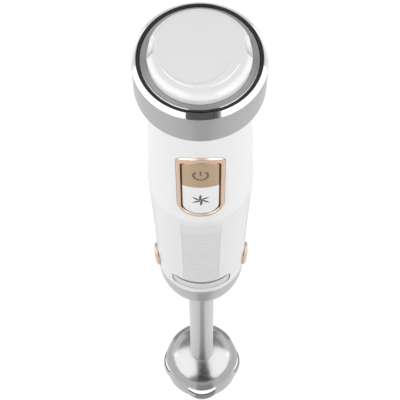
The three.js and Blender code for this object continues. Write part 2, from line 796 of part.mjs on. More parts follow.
addPiece(motorUnit, 'stator_core', makeStatorCore(), electricalSteel);
addPiece(motorUnit, 'field_coil_front', makeFieldCoil(-1), copper);
addPiece(motorUnit, 'field_coil_rear', makeFieldCoil(1), copper);
addPiece(motorUnit, 'lower_motor_bracket', makeLowerBracket(), electricalSteel);
addPiece(motorUnit, 'upper_motor_bracket', makeUpperBracket(), electricalSteel);
addPiece(motorUnit, 'lower_bearing', makeBearing(LOWER_BEARING_Z), bronze);
addPiece(motorUnit, 'upper_bearing', makeBearing(UPPER_BEARING_Z), bronze);
addPiece(
  motorUnit,
  'lower_motor_mount',
  makeMotorMount(STACK_BOTTOM + 2, STACK_BOTTOM + 8),
  rubber,
);
addPiece(motorUnit, 'upper_motor_mount', makeMotorMount(STACK_TOP - 8, STACK_TOP - 2), rubber);
for (const [place, side] of [['front', -1], ['rear', 1]]) {
  addPiece(motorUnit, `brush_holder_${place}`, makeBrushHolder(side), bronze);
  addPiece(motorUnit, `carbon_brush_${place}`, makeBrush(side), carbon);
}
for (const [place, side] of [['left', -1], ['right', 1]]) {
  addPiece(motorUnit, `motor_screw_${place}`, makeMotorScrew(side), electricalSteel);
}

// ---------------------------------------------------------------- motor, turning side

const ARMATURE_SLOTS = 12;
const FAN_RADIUS = 16.5;
const FAN_BOTTOM = 245;
const FAN_TOP = 253;
const FAN_BLADES = 9;
const SLOT_FLOOR = 7.5; // radius of the bottom of an armature slot
const COMMUTATOR_RADIUS = 7;

// One armature tooth: radius, and turn from the tooth's middle as a share of the pitch.
const TOOTH = [
  [SLOT_FLOOR, -0.36],
  [ARMATURE_RADIUS, -0.38],
  [ARMATURE_RADIUS, 0],
  [ARMATURE_RADIUS, 0.38],
  [SLOT_FLOOR, 0.36],
];

// The armature's plan: teeth between open slots for the windings.
function armatureShape() {
  const points = [];
  const pitch = (Math.PI * 2) / ARMATURE_SLOTS;
  for (let i = 0; i < ARMATURE_SLOTS; i += 1) {
    for (const [r, turn] of TOOTH) {
      const angle = (i + turn) * pitch;
      points.push([r * Math.cos(angle), r * Math.sin(angle)]);
    }
  }
  return outlineShape(points);
}

function makeArmatureCore() {
  return raised(armatureShape(), STACK_BOTTOM, STACK_TOP)
    .subtract(disc(SHAFT_HOLE, STACK_BOTTOM - 1, STACK_TOP + 1, SMALL_ROUND));
}

// The end turns of the armature's windings, a rounded ring.
function makeWinding(bottom, top) {
  const outer = ARMATURE_RADIUS - 0.6;
  const chamfer = 1.6;
  return turned([
    [SHAFT_HOLE + 0.6, bottom],
    [outer - chamfer, bottom],
    [outer, bottom + chamfer],
    [outer, top - chamfer],
    [outer - chamfer, top],
    [SHAFT_HOLE + 0.6, top],
  ], SMALL_ROUND);
}

// A back plate with straight radial vanes round a hub.
function makeCoolingFan() {
  const hub = disc(5, FAN_BOTTOM, FAN_TOP, SMALL_ROUND);
  let fan = hub.add(disc(FAN_RADIUS, FAN_TOP - 1.2, FAN_TOP));
  for (let i = 0; i < FAN_BLADES; i += 1) {
    const vane = box([4, -0.5, FAN_BOTTOM], [FAN_RADIUS, 0.5, FAN_TOP - 1]);
    fan = fan.add(turnedAboutZ(vane, (i * Math.PI * 2) / FAN_BLADES));
  }
  return fan.subtract(disc(SHAFT_HOLE, FAN_BOTTOM - 1, FAN_TOP + 1, SMALL_ROUND));
}

// The upper half of the coupling: a cup with a hexagonal hole that drives the shaft below.
function makeDriveCoupler() {
  const floor = COUPLER_BOTTOM + 5.5;
  return disc(6.5, COUPLER_BOTTOM, COUPLER_TOP, SMALL_ROUND)
    .subtract(raised(hexagon(HEX_RADIUS), COUPLER_BOTTOM - 1, floor))
    .subtract(disc(SHAFT_HOLE, floor + 1, COUPLER_TOP + 1, SMALL_ROUND));
}

function makeRotorShaft() {
  const top = UPPER_BEARING_Z + BEARING_HEIGHT + 2;
  return disc(ROTOR_SHAFT_RADIUS, COUPLER_BOTTOM + 7, top, SMALL_ROUND);
}

function makeCommutator() {
  const bottom = STACK_TOP + 6 + 2 * GAP;
  return ring(SHAFT_HOLE, COMMUTATOR_RADIUS, bottom, UPPER_BEARING_Z - 2, SMALL_ROUND);
}

addPiece(rotor, 'rotor_shaft', makeRotorShaft(), polishedSteel);
addPiece(rotor, 'armature_core', makeArmatureCore(), electricalSteel);
addPiece(rotor, 'armature_winding_lower', makeWinding(STACK_BOTTOM - 6, STACK_BOTTOM - GAP), copper);
addPiece(rotor, 'armature_winding_upper', makeWinding(STACK_TOP + GAP, STACK_TOP + 6), copper);
addPiece(rotor, 'commutator', makeCommutator(), copper);
addPiece(rotor, 'cooling_fan', makeCoolingFan(), blackPlastic);
addPiece(rotor, 'drive_coupler', makeDriveCoupler(), insulator);

// ---------------------------------------------------------------- blending shaft

const FERRULE_TOP = HANDLE_BOTTOM - GAP;
const NECK_FLANGE_BOTTOM = 192;
const NECK_FLANGE_TOP = 200; // the solid foot of the neck, round the drive shaft
const NECK_BORE = 3.2;
const NECK_SOCKET_RADIUS = 9.5;
const NECK_GROOVE_DEPTH = 1.6;
const NECK_GROOVE_HALF_HEIGHT = 3.5;
const NECK_TOP = 226;
const NECK_CHAMFER = 1.5;

// The ferrule's outer line: a bowl that closes in on the tube.
function ferruleRadius(z, offset) {
  const down = (FERRULE_TOP - z) / (FERRULE_TOP - FERRULE_BOTTOM);
  const reach = (1 - Math.min(down, 1) ** FERRULE_CURVE) ** (1 / FERRULE_CURVE);
  return TUBE_RADIUS + GAP + (FERRULE_RADIUS - TUBE_RADIUS - GAP - offset) * reach;
}

function makeFerrule() {
  const heights = steps(0, Math.PI / 2, 6).map(
    (angle) => FERRULE_TOP - (FERRULE_TOP - FERRULE_BOTTOM) * Math.sin(angle),
  );
  const outside = heights.map((z) => [ferruleRadius(z, 0), z]);
  const inside = heights.slice(0, -1).map((z) => [ferruleRadius(z, SHEET), z + SHEET]);
  inside[0][1] = FERRULE_TOP;
  const lip = [TUBE_RADIUS + GAP, FERRULE_BOTTOM + SHEET];
  return turned([...outside, lip, ...inside.reverse()]);
}

// The plastic neck: a flange in the ferrule's mouth and a plug that locks in the socket.
function makeCouplingNeck() {
  const flange = FERRULE_RADIUS - SHEET - GAP - 1;
  const grooveRadius = NECK_PLUG_RADIUS - NECK_GROOVE_DEPTH;
  return turned([
    [NECK_BORE, NECK_FLANGE_BOTTOM],
    [flange, NECK_FLANGE_BOTTOM],
    [flange, FERRULE_TOP],
    [NECK_PLUG_RADIUS, FERRULE_TOP],
    [NECK_PLUG_RADIUS, RELEASE_Z - NECK_GROOVE_HALF_HEIGHT],
    [grooveRadius, RELEASE_Z - NECK_GROOVE_HALF_HEIGHT],
    [grooveRadius, RELEASE_Z + NECK_GROOVE_HALF_HEIGHT],
    [NECK_PLUG_RADIUS, RELEASE_Z + NECK_GROOVE_HALF_HEIGHT],
    [NECK_PLUG_RADIUS, NECK_TOP - NECK_CHAMFER],
    [NECK_PLUG_RADIUS - NECK_CHAMFER, NECK_TOP],
    [NECK_SOCKET_RADIUS, NECK_TOP],
    [NECK_SOCKET_RADIUS, NECK_FLANGE_TOP],
    [NECK_BORE, NECK_FLANGE_TOP],
  ]);
}

// How far the guard's wall stands out from its round form at an angle and height.
function guardFlare(angle, z) {
  const down = THREE.MathUtils.smoothstep(GUARD_SHOULDER_Z - z, 0, FLARE_HEIGHT);
  const corner = Math.max(0, Math.cos(4 * angle));
  return down * (RIM_FLARE + CORNER_FLARE * corner);
}

// The guard's dome, from the tube down to the shoulder.
function domeLine(offset) {
  return steps(0, Math.PI / 2, 5).map((angle) => {
    const up = Math.cos(angle);
    const reach = (1 - up ** GUARD_CURVE) ** (1 / GUARD_CURVE);
    const z = GUARD_SHOULDER_Z + (GUARD_TOP - GUARD_SHOULDER_Z) * up;
    return [TUBE_BORE + (GUARD_RADIUS - TUBE_BORE - offset) * reach, z - offset * up];
  });
}

// Bell-shaped guard with a hub for the drive shaft and a slot in each of its four corners.
function makeBladeGuard() {
  const skirt = [10.5, 7, 0];
  const hubBottom = 22;
  const dome = domeLine(0);
  const lining = domeLine(SHEET).slice(1).reverse();
  const geometry = turnedGeometry([
    [HUB_BORE, GUARD_TOP],
    ...dome,
    ...skirt.map((z) => [GUARD_RADIUS, z]),
    ...[...skirt].reverse().map((z) => [GUARD_RADIUS - SHEET, z]),
    ...lining,
    [TUBE_BORE, hubBottom],
    [HUB_BORE, hubBottom],
  ], GUARD_ROUND);
  const position = geometry.attributes.position;
  for (let i = 0; i < position.count; i += 1) {
    const [x, y, z] = [position.getX(i), position.getY(i), position.getZ(i)];
    const radius = Math.hypot(x, y);
    const scale = (radius + guardFlare(Math.atan2(y, x), z)) / radius;
    position.setXY(i, x * scale, y * scale);
  }
  let guard = toSolid(geometry);
  for (let i = 0; i < 4; i += 1) {
    const slot = box(
      [-SLOT_WIDTH / 2, -CUTTER_REACH, SLOT_BOTTOM],
      [SLOT_WIDTH / 2, -GUARD_RADIUS * 0.75, SLOT_TOP],
    );
    guard = guard.subtract(turnedAboutZ(slot, (i * Math.PI) / 2));
  }
  return guard;
}

const TUBE_BOTTOM = GUARD_TOP + GAP;
const TUBE_TOP = NECK_FLANGE_BOTTOM - GAP;
const SLEEVE_RADIUS = TUBE_BORE - GAP;

function makeSleeve(bottom, top) {
  return ring(SHAFT_HOLE, SLEEVE_RADIUS, bottom, top, SMALL_ROUND);
}

const shaftTube = ring(TUBE_BORE, TUBE_RADIUS, TUBE_BOTTOM, TUBE_TOP);

addPiece(blendingShaft, 'shaft_ferrule', makeFerrule(), brushedSteel);
addPiece(blendingShaft, 'coupling_neck', makeCouplingNeck(), insulator);
addPiece(blendingShaft, 'shaft_tube', shaftTube, brushedSteel);
addPiece(blendingShaft, 'blade_guard', makeBladeGuard(), polishedSteel);
addPiece(blendingShaft, 'upper_bushing', makeSleeve(180, 190), bronze);
addPiece(blendingShaft, 'lower_bushing', makeSleeve(36, 46), bronze);
addPiece(blendingShaft, 'shaft_seal', makeSleeve(TUBE_BOTTOM + 1, TUBE_BOTTOM + 5), rubber);

// ---------------------------------------------------------------- blade drive

const BLADE_Z = 12.4;
const BLADE_THICKNESS = 1.2;
const BLADE_REACH = 17.5;
const NUT_BOTTOM = 8.4;
const NUT_TOP = 10.6;
const NUT_RADIUS = 4.6;
const WING_BENDS = [12, -6, 12, -6]; // degrees up from level

// Four wings on a hub, bent up and down in turn.
function makeBlade() {
  let blade = disc(NUT_RADIUS, NUT_TOP + GAP, BLADE_Z + 1.6, SMALL_ROUND);
  const wing = outlineShape([
    [1, -3.4],
    [BLADE_REACH - 3, -2.6],
    [BLADE_REACH, 0.4],
    [8, 3],
    [1, 3.4],
  ]);
  for (const [i, bend] of WING_BENDS.entries()) {
    const bentWing = raised(wing, -BLADE_THICKNESS / 2, BLADE_THICKNESS / 2)
      .rotate([0, -bend, 0])
      .rotate([0, 0, i * 90])
      .translate([0, 0, BLADE_Z]);
    blade = blade.add(bentWing);
  }
  return blade.subtract(disc(SHAFT_HOLE, 0, 30, SMALL_ROUND));
}

function makeBladeNut() {
  return raised(hexagon(NUT_RADIUS), NUT_BOTTOM, NUT_TOP)
    .subtract(disc(SHAFT_HOLE, NUT_BOTTOM - 1, NUT_TOP + 1, SMALL_ROUND));
}

// The lower half of the coupling: a hexagonal head that plugs into the drive coupler.
function makeDrivenCoupler() {
  const base = NECK_FLANGE_BOTTOM + 14;
  const head = raised(hexagon(HEX_RADIUS - GAP * 1.3), base, COUPLER_BOTTOM + 5);
  return head
    .add(disc(7, base, base + 4, SMALL_ROUND))
    .subtract(disc(SHAFT_HOLE, base - 1, COUPLER_BOTTOM - 2, SMALL_ROUND));
}

const DRIVE_SHAFT_TOP = COUPLER_BOTTOM - 2 - GAP;

addPiece(bladeDrive, 'driven_coupler', makeDrivenCoupler(), insulator);
addPiece(
  bladeDrive,
  'drive_shaft',
  disc(ROTOR_SHAFT_RADIUS, NUT_BOTTOM + GAP, DRIVE_SHAFT_TOP, SMALL_ROUND),
  polishedSteel,
);
addPiece(bladeDrive, 'blade', makeBlade(), polishedSteel);
addPiece(bladeDrive, 'blade_nut', makeBladeNut(), polishedSteel);

export default blender;
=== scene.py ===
"""Immersion blender: detailed pieces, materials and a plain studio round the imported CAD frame.

Metres, +Z up, the button panel faces -Y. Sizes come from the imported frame, and shares of them.
"""

import json
from math import atan2, cos, hypot, pi, radians, remainder, sin, sqrt, tan, tau

import bmesh
import bpy
from mathutils import Matrix, Quaternion, Vector


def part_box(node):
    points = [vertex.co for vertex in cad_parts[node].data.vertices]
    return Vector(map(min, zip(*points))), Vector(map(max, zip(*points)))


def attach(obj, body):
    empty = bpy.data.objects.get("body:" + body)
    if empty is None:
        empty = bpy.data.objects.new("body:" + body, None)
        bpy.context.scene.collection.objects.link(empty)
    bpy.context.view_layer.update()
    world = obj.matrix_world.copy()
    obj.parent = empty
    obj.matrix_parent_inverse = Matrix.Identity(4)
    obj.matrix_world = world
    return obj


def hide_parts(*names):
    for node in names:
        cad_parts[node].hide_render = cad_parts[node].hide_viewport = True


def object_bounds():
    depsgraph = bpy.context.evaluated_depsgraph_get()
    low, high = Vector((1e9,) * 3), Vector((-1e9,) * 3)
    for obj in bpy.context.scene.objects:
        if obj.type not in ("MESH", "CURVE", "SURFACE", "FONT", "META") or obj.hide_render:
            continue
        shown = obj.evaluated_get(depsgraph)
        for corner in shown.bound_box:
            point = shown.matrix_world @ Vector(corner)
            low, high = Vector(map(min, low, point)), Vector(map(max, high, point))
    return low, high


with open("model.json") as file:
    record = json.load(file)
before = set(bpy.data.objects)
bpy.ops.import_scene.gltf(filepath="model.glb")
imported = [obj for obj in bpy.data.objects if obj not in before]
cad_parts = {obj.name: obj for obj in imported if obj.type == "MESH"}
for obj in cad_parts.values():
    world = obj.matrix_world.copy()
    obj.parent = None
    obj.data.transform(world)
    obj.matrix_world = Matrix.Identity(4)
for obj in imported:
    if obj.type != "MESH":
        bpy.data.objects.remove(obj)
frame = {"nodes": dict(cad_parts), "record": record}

cad_low, cad_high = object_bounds()

MM = 0.001


def low(node):
    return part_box(node)[0]


def high(node):
    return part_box(node)[1]


# ---------------- dimensions from the frame

GAP = 0.3 * MM  # between neighbouring pieces
SEAM = 0.03 * MM  # half the line between the two housings
EDGE = 0.15 * MM  # broken edge of a moulded part
WALL = 2.4 * MM  # plastic
SHEET = 0.8 * MM  # steel

HANDLE_BOTTOM = low("lower_housing").z
CREASE_Z = (low("upper_housing").z + high("lower_housing").z) / 2
CREASE_RADIUS = high("lower_housing").x
NECK_RADIUS = CREASE_RADIUS * 0.85
BOTTOM_RADIUS = CREASE_RADIUS * 0.9075
CUP_RADIUS = high("upper_housing").x
CUP_TOP = high("upper_housing").z

COLLAR_RADIUS = high("top_collar").x
COLLAR_BOTTOM = low("top_collar").z
CHAMFER_TOP = high("top_collar").z
CHAMFER_RISE = 2.2 * MM
CHAMFER_WIDTH = 2.27 * MM
COLLAR_EDGE_Z = CHAMFER_TOP - CHAMFER_RISE
CHAMFER_INNER = COLLAR_RADIUS - CHAMFER_WIDTH
NECK_Z = COLLAR_BOTTOM - GAP
WINDOW_HALF_WIDTH = high("indicator_window").x - 1.1 * MM

TRIM_BOTTOM = low("trim_ring").z
SKIRT_RADIUS = high("dial_skirt").x
SKIRT_TOP = high("dial_skirt").z
SKIRT_BOTTOM = low("dial_skirt").z
KNOB_RADIUS = high("dial_knob").y
KNOB_TOP = high("dial_knob").z
KNOB_BOTTOM = low("dial_knob").z

PANEL_HALF_WIDTH = high("button_bezel").x
PANEL_TOP = high("button_bezel").z
PANEL_BOTTOM = low("button_bezel").z
PANEL_ARCH = 4.2 * MM
BEZEL_BOTTOM_CORNER = 10 * MM
BEZEL_TOP_CORNER = 4 * MM
WELL_HALF_WIDTH = PANEL_HALF_WIDTH - 2.2 * MM
WELL_TOP = PANEL_TOP - 3.6 * MM
WELL_BOTTOM = PANEL_BOTTOM + 2.8 * MM
WELL_ARCH = 3.6 * MM
WELL_BOTTOM_CORNER = 8 * MM
WELL_TOP_CORNER = 1.2 * MM
SPLIT_Z = (low("power_button").z + high("turbo_button").z) / 2

FERRULE_RADIUS = high("shaft_ferrule").x
FERRULE_TOP = high("shaft_ferrule").z
FERRULE_BOTTOM = low("shaft_ferrule").z
TUBE_RADIUS = high("shaft_tube").x
TUBE_BORE = TUBE_RADIUS - 1.1 * MM
TUBE_TOP = high("shaft_tube").z
TUBE_BOTTOM = low("shaft_tube").z
GUARD_TOP = high("blade_guard").z
SHOULDER_Z = GUARD_TOP * 0.46
RIM_FLARE = 1.2 * MM
CORNER_FLARE = 2.0 * MM
GUARD_RADIUS = high("blade_guard").x - RIM_FLARE - CORNER_FLARE

RELEASE_ANGLE = radians(80)
RELEASE_Z = (low("release_button_left").z + high("release_button_left").z) / 2

GLAND_Z = (low("cord_gland").z + high("cord_gland").z) / 2
GLAND_RADIUS = 6 * MM  # of its body, behind the flange


NECK_BOW = 0.25  # 0 is a straight line from the crease to the neck
BOTTOM_BOW = 1.7  # 1 is a straight line from the crease to the bottom


def handle_radius(z):
    """Outer radius of the white handle at a height."""
    if z >= CREASE_Z:
        down = 1 - (z - CREASE_Z) / (NECK_Z - CREASE_Z)
        share = down * (1 + NECK_BOW - NECK_BOW * down)
        return NECK_RADIUS + (CREASE_RADIUS - NECK_RADIUS) * share
    up = 1 - (CREASE_Z - z) / (CREASE_Z - HANDLE_BOTTOM)
    return BOTTOM_RADIUS + (CREASE_RADIUS - BOTTOM_RADIUS) * up**BOTTOM_BOW


# ---------------- mesh tools


FILLET_STEPS = 5
CORNER_STEPS = 10
CROWN_RINGS = 7
SHARP_ANGLE = radians(38)
MERGE_DISTANCE = 0.0005 * MM


def steps(start, end, count):
    """Evenly spaced values from start to end, both included."""
    return [start + (end - start) * i / count for i in range(count + 1)]


def smoothstep(value):
    value = min(max(value, 0.0), 1.0)
    return value * value * (3 - 2 * value)


def rounded(corners):
    """An outline of (r, z, fillet) corners, each rounded by its own fillet radius."""
    outline = []
    for i, (r, z, fillet) in enumerate(corners):
        here = Vector((r, z))
        if fillet == 0:
            outline.append((r, z))
            continue
        before = (Vector(corners[i - 1][:2]) - here).normalized()
        after = (Vector(corners[(i + 1) % len(corners)][:2]) - here).normalized()
        half = before.angle(after) / 2
        centre = here + (before + after).normalized() * (fillet / sin(half))
        start = here + before * (fillet / tan(half)) - centre
        end = here + after * (fillet / tan(half)) - centre
        first = atan2(start.y, start.x)
        turn = remainder(atan2(end.y, end.x) - first, tau)
        for k in range(FILLET_STEPS + 1):
            angle = first + turn * k / FILLET_STEPS
            outline.append((centre.x + fillet * cos(angle), centre.y + fillet * sin(angle)))
    return outline


def around(radius, angle, z):
    """The point at an angle round Z. Angle 0 is the front, and angles grow to the right."""
    return Vector((radius * sin(angle), -radius * cos(angle), z))


def circle(radius, z, sides):
    """A level circle of points that starts at the front."""
    return [around(radius, tau * i / sides, z) for i in range(sides)]


def loft(loops, closed=False):
    """Vertices and faces through loops of equally many points.

    Closed joins the last loop to the first. Otherwise each end is filled by a fan.
    """
    size = len(loops[0])
    vertices = [point for loop in loops for point in loop]
    faces = []
    for j in range(len(loops) if closed else len(loops) - 1):
        k = (j + 1) % len(loops)
        for i in range(size):
            n = (i + 1) % size
            faces.append((j * size + i, j * size + n, k * size + n, k * size + i))
    if not closed:
        for j in (0, len(loops) - 1):
            vertices.append(sum(loops[j], Vector()) / size)
            for i in range(size):
                faces.append((j * size + i, j * size + (i + 1) % size, len(vertices) - 1))
    return vertices, faces


def turned(outline, sides):
    """A closed (r, z) outline, clear of the axis, turned about Z."""
    return loft([circle(r, z, sides) for r, z in outline], closed=True)


def turned_solid(outline, sides):
    """An (r, z) outline turned about Z, with both ends closed on the axis."""
    return loft([circle(r, z, sides) for r, z in outline])


def merged(parts):
    """Several (vertices, faces) as one."""
    vertices, faces = [], []
    for part_vertices, part_faces in parts:
        first = len(vertices)
        vertices += part_vertices
        faces += [tuple(first + i for i in face) for face in part_faces]
    return vertices, faces


def clean(obj):
    """Outward normals, no doubled points, and smooth shading that breaks at sharp edges."""
    bm = bmesh.new()
    bm.from_mesh(obj.data)
    bmesh.ops.remove_doubles(bm, verts=bm.verts, dist=MERGE_DISTANCE)
    bmesh.ops.dissolve_degenerate(bm, dist=MERGE_DISTANCE, edges=bm.edges)
    bmesh.ops.recalc_face_normals(bm, faces=bm.faces)
    for face in bm.faces:
        face.smooth = True
    for edge in bm.edges:
        edge.smooth = edge.calc_face_angle(pi) < SHARP_ANGLE
    bm.to_mesh(obj.data)
    bm.free()


def add_object(name, data):
    """An object in the scene that shows a mesh, a light or a camera."""
    obj = bpy.data.objects.new(name, data)
    bpy.context.scene.collection.objects.link(obj)
    return obj


def new_object(name, data):
    """A mesh object from (vertices, faces)."""
    mesh = bpy.data.meshes.new(name)
    mesh.from_pydata(data[0], [], data[1])
    obj = add_object(name, mesh)
    clean(obj)
    return obj


def cut(obj, *cutters):
    """Takes the cutters' volume out of an object, and removes the cutters."""
    for cutter in cutters:
        modifier = obj.modifiers.new("cut", "BOOLEAN")
        modifier.operation = "DIFFERENCE"
        modifier.solver = "EXACT"
        modifier.object = cutter
    graph = bpy.context.evaluated_depsgraph_get()
    mesh = bpy.data.meshes.new_from_object(obj.evaluated_get(graph))
    obj.modifiers.clear()
    obj.data = mesh
    for cutter in cutters:
        bpy.data.objects.remove(cutter)
    clean(obj)


def paint(obj, materials, choose):
    """Gives each face the material whose number it is chosen for."""
    for material in materials:
        obj.data.materials.append(material)
    for face in obj.data.polygons:
        face.material_index = choose(face)


def piece(obj, body, slot, material, *nodes):
    """Finishes a piece: its look, its body and the CAD nodes it stands for. The slot is not used."""
    if not obj.data.materials:
        obj.data.materials.append(material)
    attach(obj, body)
    if nodes:
        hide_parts(*nodes)


def turned_about_z(data, angle):
    turn = Matrix.Rotation(angle, 4, "Z")
    return [turn @ point for point in data[0]], data[1]


def turned_to_rear(data):
    """A form made about Z, turned so that its axis is the cord gland's and its top faces +Y."""
    return [Vector((p.x, p.z, GLAND_Z - p.y)) for p in data[0]], data[1]


# ---------------- forms on the handle's skin


def on_skin(x, z, lift):
    """The point at x and z on the handle's front, lifted off its skin."""
    radius = handle_radius(z) + lift
    return Vector((x, -sqrt(radius * radius - x * x), z))


def along(start, end, count):
    """The points between two points, without either of them."""
    return [
        (start[0] + (end[0] - start[0]) * i / count, start[1] + (end[1] - start[1]) * i / count)
        for i in range(1, count)
    ]


def panel_outline(half_width, bottom, top, bottom_corner, top_corner, edge_steps=12, arch=0.0):
    """(x, z) points round a panel, counter-clockwise from its lower left corner.

    The arch is how far the top edge falls from its middle to its ends.
    """
    corners = (
        (-half_width + bottom_corner, bottom + bottom_corner, bottom_corner, pi),
        (half_width - bottom_corner, bottom + bottom_corner, bottom_corner, pi * 1.5),
        (half_width - top_corner, top - top_corner, top_corner, 0),
        (-half_width + top_corner, top - top_corner, top_corner, pi / 2),
    )
    points = []
    for x, z, radius, start in corners:
        arc = [
            (x + radius * cos(a), z + radius * sin(a))
            for a in steps(start, start + pi / 2, CORNER_STEPS)
        ]
        if points:
            points += along(points[-1], arc[0], edge_steps)
        points += arc
    points += along(points[-1], points[0], edge_steps)
    rise = top - bottom
    return [(x, z - arch * (x / half_width) ** 2 * (z - bottom) / rise) for x, z in points]


def bezel_outline(margin=0.0):
    """The outer edge of the button panel's frame, or a line a margin outside it."""
    return panel_outline(
        PANEL_HALF_WIDTH + margin,
        PANEL_BOTTOM - margin,
        PANEL_TOP + margin,
        BEZEL_BOTTOM_CORNER,
        BEZEL_TOP_CORNER,
        arch=PANEL_ARCH,
    )


def well_outline(inset=0.0):
    """The inner edge of the button panel's frame, or a line inset from it."""
    return panel_outline(
        WELL_HALF_WIDTH - inset,
        WELL_BOTTOM + inset,
        WELL_TOP - inset,
        WELL_BOTTOM_CORNER - inset,
        WELL_TOP_CORNER,
        arch=WELL_ARCH,
    )


def pad(outline, section, place=on_skin, crown=0.0):
    """A closed pad on a surface: (inset, lift) steps in from its outline, then a filled top.

    The crown is how much the middle of the top stands above its edge.
    """
    xs = [x for x, _ in outline]
    zs = [z for _, z in outline]
    middle_x, half_x = (min(xs) + max(xs)) / 2, (max(xs) - min(xs)) / 2
    middle_z, half_z = (min(zs) + max(zs)) / 2, (max(zs) - min(zs)) / 2

    def ring(inset, lift, share=1.0):
        scale_x = (half_x - inset) / half_x * share
        scale_z = (half_z - inset) / half_z * share
        return [
            place(middle_x + (x - middle_x) * scale_x, middle_z + (z - middle_z) * scale_z, lift)
            for x, z in outline
        ]

    bottom_inset, bottom_lift = section[0]
    top_inset, top_lift = section[-1]
    shares = steps(0.03, 1, CROWN_RINGS)
    loops = [ring(bottom_inset, bottom_lift, share) for share in shares[:-1]]
    loops += [ring(inset, lift) for inset, lift in section]
    for share in reversed(shares[:-1]):
        loops.append(ring(top_inset, top_lift + crown * (1 - share * share), share))
    return loft(loops)


def edge_section(depth, height, rounding):
    """(inset, lift) steps up a pad's side and over its rounded edge."""
    arc = [
        (rounding * (1 - cos(a)), height - rounding * (1 - sin(a)))
        for a in steps(0, pi / 2, FILLET_STEPS)
    ]
    return [(0, -depth), *arc]


def ribbon(path, half_widths, bottom, top):
    """A raised line on the handle's skin along (x, z) points, with softened edges."""
    loops = []
    for i, (x, z) in enumerate(path):
        ahead = Vector(path[min(i + 1, len(path) - 1)])
        behind = Vector(path[max(i - 1, 0)])
        across = (ahead - behind).normalized().orthogonal()
        half = half_widths[i]
        soft = (top - bottom) * 0.3
        loops.append([
            on_skin(x + across.x * half * side, z + across.y * half * side, lift)
            for side, lift in (
                (-1, bottom), (-1, top - soft), (-0.7, top), (0.7, top), (1, top - soft), (1, bottom)
            )
        ])
    return loft(loops)


# ---------------- materials


def material_base(name, colour, roughness, metallic=0.0):
    """A material with its node tree and shader."""
    material = bpy.data.materials.new(name)
    material.use_nodes = True
    material.diffuse_color = (*colour, 1)
    shader = material.node_tree.nodes["Principled BSDF"]
    shader.inputs["Base Color"].default_value = (*colour, 1)
    shader.inputs["Roughness"].default_value = roughness
    shader.inputs["Metallic"].default_value = metallic
    return material, material.node_tree, shader


def pattern(tree, scale, detail=3.0, stretch=(1, 1, 1)):
    """Noise in the piece's own coordinates, in cells per metre."""
    place = tree.nodes.new("ShaderNodeTexCoord")
    mapping = tree.nodes.new("ShaderNodeMapping")
    mapping.inputs["Scale"].default_value = stretch
    noise = tree.nodes.new("ShaderNodeTexNoise")
    noise.inputs["Scale"].default_value = scale
    noise.inputs["Detail"].default_value = detail
    tree.links.new(place.outputs["Object"], mapping.inputs["Vector"])
    tree.links.new(mapping.outputs["Vector"], noise.inputs["Vector"])
    return noise.outputs["Fac"]


def vary_colour(tree, shader, factor, colour, spread):
    """Base colour that a pattern makes darker and lighter by a share."""
    mix = tree.nodes.new("ShaderNodeMix")
    mix.data_type = "RGBA"
    for end, share in (("A", 1 - spread), ("B", 1 + spread)):
        mix.inputs[end].default_value = (*[channel * share for channel in colour], 1)
    tree.links.new(factor, mix.inputs["Factor"])
    tree.links.new(mix.outputs["Result"], shader.inputs["Base Color"])


def vary_roughness(tree, shader, factor, roughness):
    """Roughness that changes by 15 percent each way over the middle of a pattern's range."""
    spread = tree.nodes.new("ShaderNodeMapRange")
    spread.inputs["From Min"].default_value = 0.3
    spread.inputs["From Max"].default_value = 0.7
    spread.inputs["To Min"].default_value = roughness * 0.85
    spread.inputs["To Max"].default_value = roughness * 1.15
    tree.links.new(factor, spread.inputs["Value"])
    tree.links.new(spread.outputs["Result"], shader.inputs["Roughness"])


def add_bump(tree, shader, factor, depth, strength):
    bump = tree.nodes.new("ShaderNodeBump")
    bump.inputs["Strength"].default_value = strength
    bump.inputs["Distance"].default_value = depth
    tree.links.new(factor, bump.inputs["Height"])
    tree.links.new(bump.outputs["Normal"], shader.inputs["Normal"])


def plastic(name, colour, roughness, grain=900, grain_depth=0.01 * MM, coat=0.0, spread=0.03):
    """Moulded plastic: slight tone and gloss variation over a fine moulded texture."""
    material, tree, shader = material_base(name, colour, roughness)
    vary_colour(tree, shader, pattern(tree, 35), colour, spread)
    vary_roughness(tree, shader, pattern(tree, 160), roughness)
    add_bump(tree, shader, pattern(tree, grain), grain_depth, 0.35)
    shader.inputs["Coat Weight"].default_value = coat
    shader.inputs["Coat Roughness"].default_value = 0.06
    return material


def metal(name, colour, roughness, stretch=(1, 1, 1), grain=2200, spread=0.06, depth=0.002 * MM):
    """Metal with fine marks that run the way the stretch leaves long."""
    material, tree, shader = material_base(name, colour, roughness, 1.0)
    marks = pattern(tree, grain, 2.0, stretch)
    vary_colour(tree, shader, marks, colour, spread)
    vary_roughness(tree, shader, marks, roughness)
    add_bump(tree, shader, marks, depth, 0.3)
    return material


def turned_metal(name, colour, roughness, anisotropy):
    """Metal brushed round the Z axis, whose reflections are drawn out up and down."""
    material = metal(name, colour, roughness, (0.01, 0.01, 1))
    tree = material.node_tree
    shader = tree.nodes["Principled BSDF"]
    tangent = tree.nodes.new("ShaderNodeTangent")
    tangent.direction_type = "RADIAL"
    tangent.axis = "Z"
    tree.links.new(tangent.outputs["Tangent"], shader.inputs["Tangent"])
    shader.inputs["Anisotropic"].default_value = anisotropy
    shader.inputs["Anisotropic Rotation"].default_value = 0.25
    return material


def grey(level):
    """A neutral colour with a trace of blue."""
    return level, level, level + 0.005


